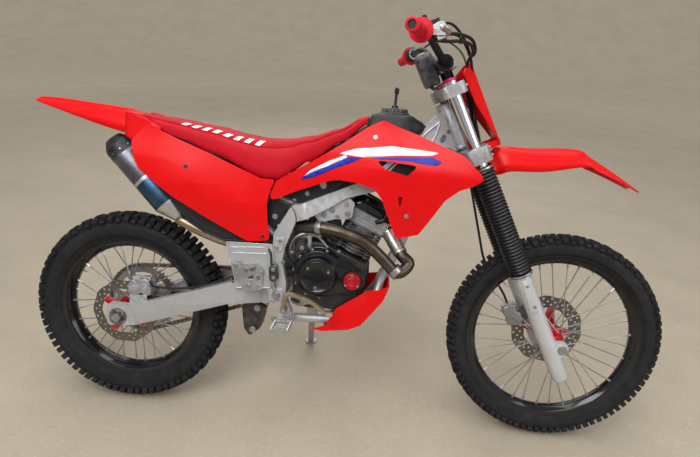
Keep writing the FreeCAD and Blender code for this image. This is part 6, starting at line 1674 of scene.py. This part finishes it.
def calipers():
    # Two halves bridged over each disc, with piston bosses, bolts and pad pins.
    front = [tray(rounded([(-63, 66), (-40, 58), (-30, 64), (-12, 56.5), (-7.4, 92), (-18, 104), (-14, 128),
                           (-34, 135), (-56, 131), (-63.4, 108), (-56, 94)], 5), levels)
             for levels in (((35.4, 4), (38, 1), (52, 0)), ((64, 0), (77, 1), (80.6, 4)))]
    bridge = block((-60, 50, 128), (-16, 66, 135.6))
    pistons = [bar((-46, 78, z), (-46, 80.8, z), 12, 28) for z in (82, 112)]
    mount = block((-36.4, 80, 78), (-7.2, 104.6, 116))
    forkPart("frontCaliper", joined(front + [bridge, mount] + pistons), "castSilver", ("front_caliper",), bevel=1.2,
             welded=False)
    bolts = [boltHead((x, 80.4, z), (0, 1, 0), 4, 4.4) for x, z in ((-18, 70), (-24, 124))]
    forkPart("frontCaliperBolts", joined(bolts), "zincSteel", bevel=0.3)
    rear = [tray(rounded([(20.5, 408), (30, 398), (58, 400), (66, 408), (78, 398), (96, 400), (101.4, 414), (96, 444),
                          (84, 457), (62, 455), (50, 446), (34, 450), (21, 432)], 5), levels)
            for levels in (((-91.2, 4), (-88.6, 1), (-72, 0)), ((-60, 0), (-43.4, 1), (-40.8, 4)))]
    rearBridge = block((30, -74, 446), (92, -58, 457.2))
    rearPistons = [bar((x, -89, z), (x, -deep, z), wide, sides) for x, z, wide, deep, sides in
                   ((44, 424, 17, 95, 32), (44, 424, 11, 97.4, 6), (80, 428, 14, 94, 32), (80, 428, 9, 96, 6),
                    (94, 452, 4, 93, 12))]
    rearMount = block((27.4, -91.2, 346), (86, -85.4, 400))
    bikePart("rearCaliper", joined(rear + [rearBridge, rearMount] + rearPistons), "castSilver", ("rear_caliper",),
             bevel=1.2, welded=False)
    rearBolts = [boltHead((x, -91.2, z), (0, -1, 0), 4.4, 3) for x, z in ((30, 408), (94, 440), (40, 360), (76, 372))]
    bikePart("rearCaliperBolts", joined(rearBolts), "zincSteel", bevel=0.3)


shock = {"low": Vector((455, 0, 350)), "high": Vector((440, 0, 689)), "turns": 7.5, "steps": 150,
         "coilStart": 0.36, "coilShare": 0.48, "coil": 31, "wire": 5.6}


def springAndDamper():
    low, high, steps = shock["low"], shock["high"], shock["steps"]
    reach = high - low
    across, other = axes(reach)[1:]
    coil = []
    for k in range(steps + 1):
        angle = 2 * math.pi * shock["turns"] * k / steps
        coil.append(low + reach * (shock["coilStart"] + shock["coilShare"] * k / steps)
                    + (across * math.cos(angle) + other * math.sin(angle)) * shock["coil"])
    spring = rings(coil, [shock["wire"]] * len(coil), 12)
    bikePart("shockSpring", spring, "redMetal", ("rear_shock",), smooth=60)
    body = along([(0.5, 0), (14, 0), (14, 100), (21.6, 112), (21.6, 120), (36, 122), (36, 127), (20, 128), (20, 280),
                  (36, 282), (36, 288), (21.6, 290), (21.6, 330), (12, 338.6), (0.5, 338.6)], low, high, 40)
    rocker = tray(rounded([(392, 397), (425, 397), (469, 370), (450, 293), (414, 263), (395, 290), (386.4, 363)], 8),
                  [(-29.6, 2), (-27, 0), (27, 0), (29.6, 2)])
    bikePart("shockBody", body, "brushedMetal", bevel=0.6)
    bikePart("shockRocker", rocker, "darkCast", bevel=1.5)
    pins = [boltHead((x, -29.4, z), (0, -1, 0), 9, 6) for x, z in ((440, 366), (425, 288))]
    bikePart("linkBolts", bothSides(*pins), "zincSteel", bevel=0.4)


axleEnd = {"z": 330, "face": 120.4, "leftCam": 117, "cam": 29, "camWave": 0.02, "scallops": 14}


def swingDetails():
    # The chain's guide, the scalloped axle cams with their screws, and the clips on the swingarm.
    guide = tray(rounded([(96, 306), (168, 312), (176, 352), (160, 372), (104, 362)], 8), [(62, 1), (65, 0)])
    guideOut = tray(rounded([(96, 306), (168, 312), (176, 340), (104, 334)], 6), [(86, 0), (90, 1)])
    sole = block((138, 62, 304), (168, 90, 309))
    bikePart("chainGuide", joined([guide, guideOut, sole]), "blackPlastic", bevel=1.0, welded=False)
    blocks, screws, clips, z = [], [], [], axleEnd["z"]
    for side in (-1, 1):
        cam = [polar(axleEnd["cam"] * (1 + axleEnd["camWave"] * math.cos(axleEnd["scallops"] * t)), t, 0, z)
               for t in turns(84)]
        out = side * axleEnd["face"]
        blocks.append(flatShape([cam, circle(17, z + 12, 5, 16)], out if side < 0 else axleEnd["leftCam"], 3.4))
        blocks.append(bar((0, out, z), (0, out + side * 2.6, z), 17, 32))
        screws.append(bar((0, out, z), (0, out + side * 8, z), 12, 6))
        clips.append(block((190, side * 113 - 1.2, 372), (203, side * 113 + 1.2, 412)))
        screws.append(bar((-40, side * 104, z), (-30, side * 104, z), 3.2, 10))
        screws.append(bar((-42, side * 104, z), (-36, side * 104, z), 6, 6))
    bikePart("axleBlocks", joined(blocks), "darkCast", bevel=0.4, welded=False)
    bikePart("armClips", joined(clips), "tanPlate", bevel=0.5)
    bikePart("axleScrews", joined(screws), "zincSteel", bevel=0.3)


cockpit()
barMiddle()
numberBoard()
calipers()
springAndDamper()
swingDetails()
print("fork and cockpit ready")


# What fills the space round the engine and the bars

def panelPlate(outline, level, depth, radius=6):
    return tray(rounded(outline, radius), [(level, 0), (level - depth + 1, 0), (level - depth, 1)])


underPanel = {"level": -103, "wall": 3,
              "line": [(136, 792), (196, 764), (300, 706), (430, 640), (486, 640), (484, 619), (440, 612), (342, 612),
                       (280, 634), (240, 660), (206, 698), (166, 740)],
              "rim": [(162, 742), (204, 698), (240, 660), (280, 634), (342, 613), (440, 614), (480, 621)]}


def innerFender():
    # The black guard between the side panel and the pipe, with its thick lower edge.
    guard = panelPlate(underPanel["line"], underPanel["level"], underPanel["wall"])
    level = underPanel["level"] - 1.5
    edge = joined([bar((a[0], level, a[1]), (b[0], level, b[1]), 3.4, 8)
                   for a, b in zip(underPanel["rim"], underPanel["rim"][1:])])
    second = joined([bar((a[0] + 4, level, a[1] + 17), (b[0] + 4, level, b[1] + 17), 2.2, 8)
                     for a, b in zip(underPanel["rim"][:-2], underPanel["rim"][1:-1])])
    bikePart("innerFender", bothSides(guard, edge, second), "blackPlastic", bevel=0.6, welded=False)


boxSide = {"level": -88, "seam": -93.4, "bolts": -93}


def airboxSides():
    side = panelPlate([(470, 624), (500, 616), (543, 664), (600, 742), (690, 796), (722, 832), (640, 830), (560, 790),
                       (484, 752)], boxSide["level"], 5, 8)
    seams = joined([tube([(x, boxSide["seam"], z) for x, z in line], 2.0, 8, 4)
                    for line in (((506, 650), (520, 700), (580, 762)), ((560, 720), (620, 790), (690, 815)))])
    bikePart("airboxSides", bothSides(side, seams), "blackPlastic", bevel=0.8, welded=False)
    bolts = sideBolts(boxSide["bolts"], 4, ((502, 697, 7), (514, 668, 4.5), (600, 776, 6), (648, 806, 9),
                                            (560, 752, 5)))
    bikePart("airboxBolts", bothSides(*bolts), "zincSteel", bevel=0.4)


def engineHanger():
    # The plates from the spars to the cylinder head, and their bolts.
    plateSide = panelPlate([(622, 712), (650, 728), (690, 750), (730, 772), (748, 756), (742, 712), (724, 704),
                            (690, 702), (659, 692), (636, 696)], -84, 7, 6)
    bolts = sideBolts(-91, 5, ((654, 714, 7), (680, 731, 7), (696, 713, 5), (728, 722, 7), (722, 752, 6)))
    bikePart("engineHangers", bothSides(plateSide), "frameMetal", bevel=1.0)
    bikePart("hangerBolts", bothSides(*bolts), "zincSteel", bevel=0.4)


def besideEngine():
    # Starter, clutch arm, oil line, throttle body and wires between the frame and the cylinder.
    starter = along([(0.5, 0), (20, 0), (25, 4), (26, 8), (26, 78), (23, 82), (23, 96), (14, 100), (0.5, 100)],
                    (588, -74, 650), (588, -73, 650), 40)
    lugs = [bar(around(30, t, -70, 588, 650), around(30, t, -60, 588, 650), 6, 16) for t in (0.6, 3.7)]
    throttle = along([(18, 0), (27, 0), (28, 3), (28, 20), (24, 24), (24, 44), (28, 48), (28, 56), (18, 56)],
                     (644, 0, 742), (700, 0, 726), 40)
    bikePart("starterMotor", joined([starter] + lugs), "engineGrey", smooth=40, welded=False)
    bikePart("throttleBody", throttle, "castSilver", bevel=0.6)
    boot = along([(24, 0), (34, 0), (35, 3), (31, 8), (35, 13), (31, 18), (34, 23), (34, 30), (24, 30)],
                 (618, 0, 750), (648, 0, 741), 40)
    bikePart("intakeBoot", boot, "softRubber", smooth=40)
    reach = panelPlate([(600, 640), (618, 652), (650, 668), (654, 660), (624, 640), (608, 628)], -79, 5, 4)
    arm = joined([bar((613, -78, 604), (613, -78, 650), 7, 20), reach])
    line = tube([(560, -66, 560), (552, -82, 596), (566, -86, 632), (604, -84, 650), (640, -82, 640),
                 (672, -78, 606), (700, -74, 596)], 5.2, 12, 6)
    drain = tube([(560, -60, 420), (590, -84, 412), (630, -88, 424), (668, -80, 402), (716, -66, 398)], 5.4, 12, 6)
    bikePart("clutchArm", arm, "castSilver", bevel=0.6, welded=False)
    bikePart("oilLines", joined([line, drain]), "zincSteel", smooth=60)
    ends = (((700, -74, 596), (712, -74, 592)), ((556, -72, 578), (553, -80, 592)),
            ((716, -66, 398), (728, -62, 398)))
    unions = [along([(0.5, 0), (9, 0), (9, 9), (7, 12), (0.5, 12)], start, end, 6) for start, end in ends]
    bikePart("lineUnions", joined(unions), "brushedMetal", bevel=0.5)
    wires = [tube(points, radius, 8, 6) for points, radius in (
        ([(540, -70, 700), (560, -80, 676), (596, -78, 684), (640, -70, 676), (676, -74, 640), (700, -80, 600)], 3.2),
        ([(650, -40, 780), (662, -60, 742), (690, -66, 716), (706, -70, 690), (712, -72, 660)], 3.0),
        ([(760, -20, 800), (790, -40, 780), (826, -50, 762), (846, -56, 730), (842, -60, 706)], 4.2),
        ([(536, -66, 640), (540, -84, 610), (548, -84, 570), (570, -80, 540)], 3.0),
        ([(620, -64, 690), (634, -76, 662), (660, -78, 652), (690, -76, 662), (720, -66, 650)], 2.6))]
    bikePart("engineWires", joined(wires), "hoseRubber", smooth=60)
    plugCap = along([(0.5, 0), (9, 0), (9.6, 3), (8, 8), (9.6, 12), (8, 18), (6, 30), (0.5, 30)], (842, -60, 706),
                    (826, -60, 700), 20)
    bikePart("sparkCap", plugCap, "softRubber", smooth=50)
    # Dark blocks in the middle of the engine, painted shade for the shadowed space between the cases and the cylinder
    dark = [block((600, -40, 560), (700, 40, 700)), block((560, -50, 560), (610, 50, 660))]
    bikePart("engineShadeFill", joined(dark), "darkCast", bevel=6, welded=False)


spar = {"bend": 600, "nose": 1045, "outer": 120, "headOuter": 42}
headTube = {"low": (1066.6, 0, 943.3), "high": (1062.1, 0, 952.3)}


def headGussets():
    # Raised edges and oval holes on each spar where it meets the steering head, and the head's collar. The holes are
    # black patches, painted shade for their dark insides.
    def face(x, z, out=0.0):
        share = (x - spar["bend"]) / (spar["nose"] - spar["bend"])
        return (x, -(spar["outer"] + (spar["headOuter"] - spar["outer"]) * share) - out, z)
    ribs, holes = [], []
    for line in (((914, 944), (950, 985), (985, 1016)), ((905, 905), (960, 930), (1012, 944), (1044, 936)),
                 ((958, 938), (975, 975), (985, 1012))):
        ribs.append(tube([face(x, z, 1.0) for x, z in line], 4.6, 10, 5))
    for x, z, wide, tall, turn in ((940, 943, 15, 7, 0.5), (1000, 968, 13, 8, 1.1), (1016, 990, 8, 6, 1.1)):
        ring = [(x + wide * math.cos(t) * math.cos(turn) - tall * math.sin(t) * math.sin(turn),
                 z + wide * math.cos(t) * math.sin(turn) + tall * math.sin(t) * math.cos(turn))
                for t in turns(24)]
        holes.append(loft([[face(u, v, out) for u, v in ring] for out in (-1.0, 0.7)]))
    bikePart("headRibs", bothSides(*ribs), "frameMetal", smooth=60)
    # The holes' black patches are painted shade
    bikePart("headHoleShade", bothSides(*holes), "blackSatin")
    collar = along([(26, 0), (33, 0), (34, 2), (34, 8), (33, 10), (26, 10)], headTube["low"], headTube["high"], 40)
    bikePart("headCollar", collar, "castSilver", bevel=0.6)


innerFender()
airboxSides()
engineHanger()
besideEngine()
headGussets()
print("engine surroundings ready")


def handControls():
    # The brake's master cylinder on the right, cable guides and ties, and the black case behind the bar.
    body = loft([[(x, y, z) for x, z in ((10, 998), (36, 996), (44, 1006), (42, 1034), (30, 1040), (10, 1038))]
                 for y in (-266, -262, -220, -214)])
    lidSide = loft([[(x, y, z) for x, z in ((9, 1039), (32, 1040), (33, 1050), (9, 1051))] for y in (-262, -218)])
    forkPart("masterBody", body, "castSilver", bevel=1.6)
    forkPart("masterLid", lidSide, "blackPlastic", bevel=1.4)
    screws = [capScrew((20, y, 1050.5), (0, 0, 1), 3, 1.6) for y in (-254, -226)]
    screws += [boltHead((43, y, 1018), (1, 0, 0), 4, 4) for y in (-252, -228)]
    forkPart("masterScrews", joined(screws), "zincSteel", bevel=0.3)
    guides = [tube(points, 5.0, 12, 6, 3.6) for points in (
        [(-8, -258, 1010), (32, -240, 990), (70, -208, 978), (100, -166, 962), (104, -128, 938), (92, -92, 926),
         (72, -56, 880), (60, -28, 800), (48, -14, 694)],
        [(0, -262, 1022), (40, -246, 1006), (80, -206, 992), (110, -160, 970), (112, -122, 940), (94, -82, 928),
         (74, -46, 880), (64, -20, 800), (52, 2, 694)])]
    forkPart("throttleGuides", joined(guides), "hoseRubber", smooth=60)
    case = tray(rounded([(-40, -46), (4, -46), (8, -30), (8, 30), (4, 46), (-40, 46)], 12),
                [(902, 6), (908, 1), (930, 0), (985, 0), (996, 2), (1001, 9)], "plan")
    forkPart("ignitionCase", case, "blackSatin", smooth=50)
    key = along([(0.5, 0), (13, 0), (14, 2), (14, 5), (11, 6), (0.5, 6)], (-16, 0, 1000), (-16, 0, 1001), 28)
    forkPart("keyRing", key, "brushedMetal", bevel=0.4)
    grips = [block((44, y - 14, 926), (66, y + 14, 944)) for y in (-31, 31)]
    forkPart("clampNoses", joined(grips), "castSilver", bevel=2.0)
    ties = [along([(4.6, 0), (6.4, 0), (6.4, 4), (4.6, 4)], start, end, 16) for start, end in
            (((70, -208, 978), (74, -203, 976)), ((104, -128, 938), (104, -122, 934)))]
    forkPart("cableTies", joined(ties), "blackPlastic")
    wire = [tube(points, 2.6, 8, 6) for points in (
        [(-26, -20, 910), (-14, -34, 892), (14, -38, 880), (38, -30, 872)],
        [(-26, 20, 910), (-14, 32, 892), (14, 36, 880), (38, 28, 872)])]
    forkPart("caseWires", joined(wire), "hoseRubber", smooth=60)


handControls()
print("hand controls ready")


# Floor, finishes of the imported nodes, camera

def floorFinish():
    # Dry concrete: soft blotches, fine sand and small dark specks. It glows for the camera far from the lamps.
    made = Finish("paleConcrete")
    distance = made.node("ShaderNodeVectorMath", operation="LENGTH")
    made.join(made.place, distance.inputs[0])
    far = made.spread(distance.outputs["Value"], 0, 1, 1.6, 7.5)
    glow = made.math("MULTIPLY", far, made.node("ShaderNodeLightPath").outputs["Is Camera Ray"])
    made.join(made.math("MULTIPLY", glow, studio["glow"]), made.shader.inputs["Emission Strength"])
    blotch = made.spread(made.noise(2.6, 7, roughness=0.68), 0, 0.28, 0.42, 0.68)
    base = made.mix(blotch, studio["floorColour"], studio["sandColour"])
    sand = made.noise(70, 5, roughness=0.7)
    base = made.mix(made.spread(sand, 0, 0.55, 0.52, 0.72), base, (0.50, 0.47, 0.41))
    specks = made.spread(made.noise(22, 6, roughness=0.75), 0, 0.5, 0.6, 0.72)
    base = made.mix(specks, base, studio["sandColour"])
    made.join(base, made.shader.inputs["Base Color"])
    made.join(base, made.shader.inputs["Emission Color"])
    made.join(made.spread(sand, 0.62, 0.9), made.shader.inputs["Roughness"])
    made.shader.inputs["Specular IOR Level"].default_value = 0.25
    made.join(made.bump(sand, 0.0003), made.shader.inputs["Normal"])
    return made


def layFloor():
    # A wide floor that curves up behind the bike.
    half, start, radius = studio["floorHalf"], studio["sweepStart"], studio["sweepRadius"]
    line = [(-half, 0), (start, 0)]
    line += [(start + radius * math.sin(t), radius * (1 - math.cos(t)))
             for t in (math.radians(6 * i) for i in range(1, 16))]
    line.append((start + radius, 14))
    mesh = bpy.data.meshes.new("floor")
    points, faces = skin([[(-half, y, z), (half, y, z)] for y, z in line])
    mesh.from_pydata(points, [], faces)
    mesh.polygons.foreach_set("use_smooth", [True] * len(mesh.polygons))
    mesh.materials.append(floorFinish().material)
    floor = bpy.data.objects.new("floor", mesh)
    bpy.context.scene.collection.objects.link(floor)


nodeFinish = {"frame_metal": "frameMetal", "black_metal": "blackSatin", "engine_metal": "engineGrey",
              "red_metal": "redMetal", "black_plastic": "blackPlastic", "seat_cover": "seatTop",
              "red_plastic": "redPlastic", "pipe_steel": "pipeSteel", "silencer_steel": "sleeveSteel",
              "axle_steel": "zincSteel", "chain_steel": "chainSteel", "cast_silver": "castSilver",
              "pedal_metal": "tanPlate", "chrome_tube": "chrome", "gaiter_rubber": "softRubber",
              "fork_metal": "forkPaint", "grip_rubber": "gripRubber", "tyre_rubber": "tyreRubber"}
for nodeName, node in frame["nodes"].items():
    node.data.materials.clear()
    node.data.materials.append(finishes[nodeFinish[slotOf[nodeName]]].material)

layFloor()
lightStudio()
placeCamera()
print("stage ready")
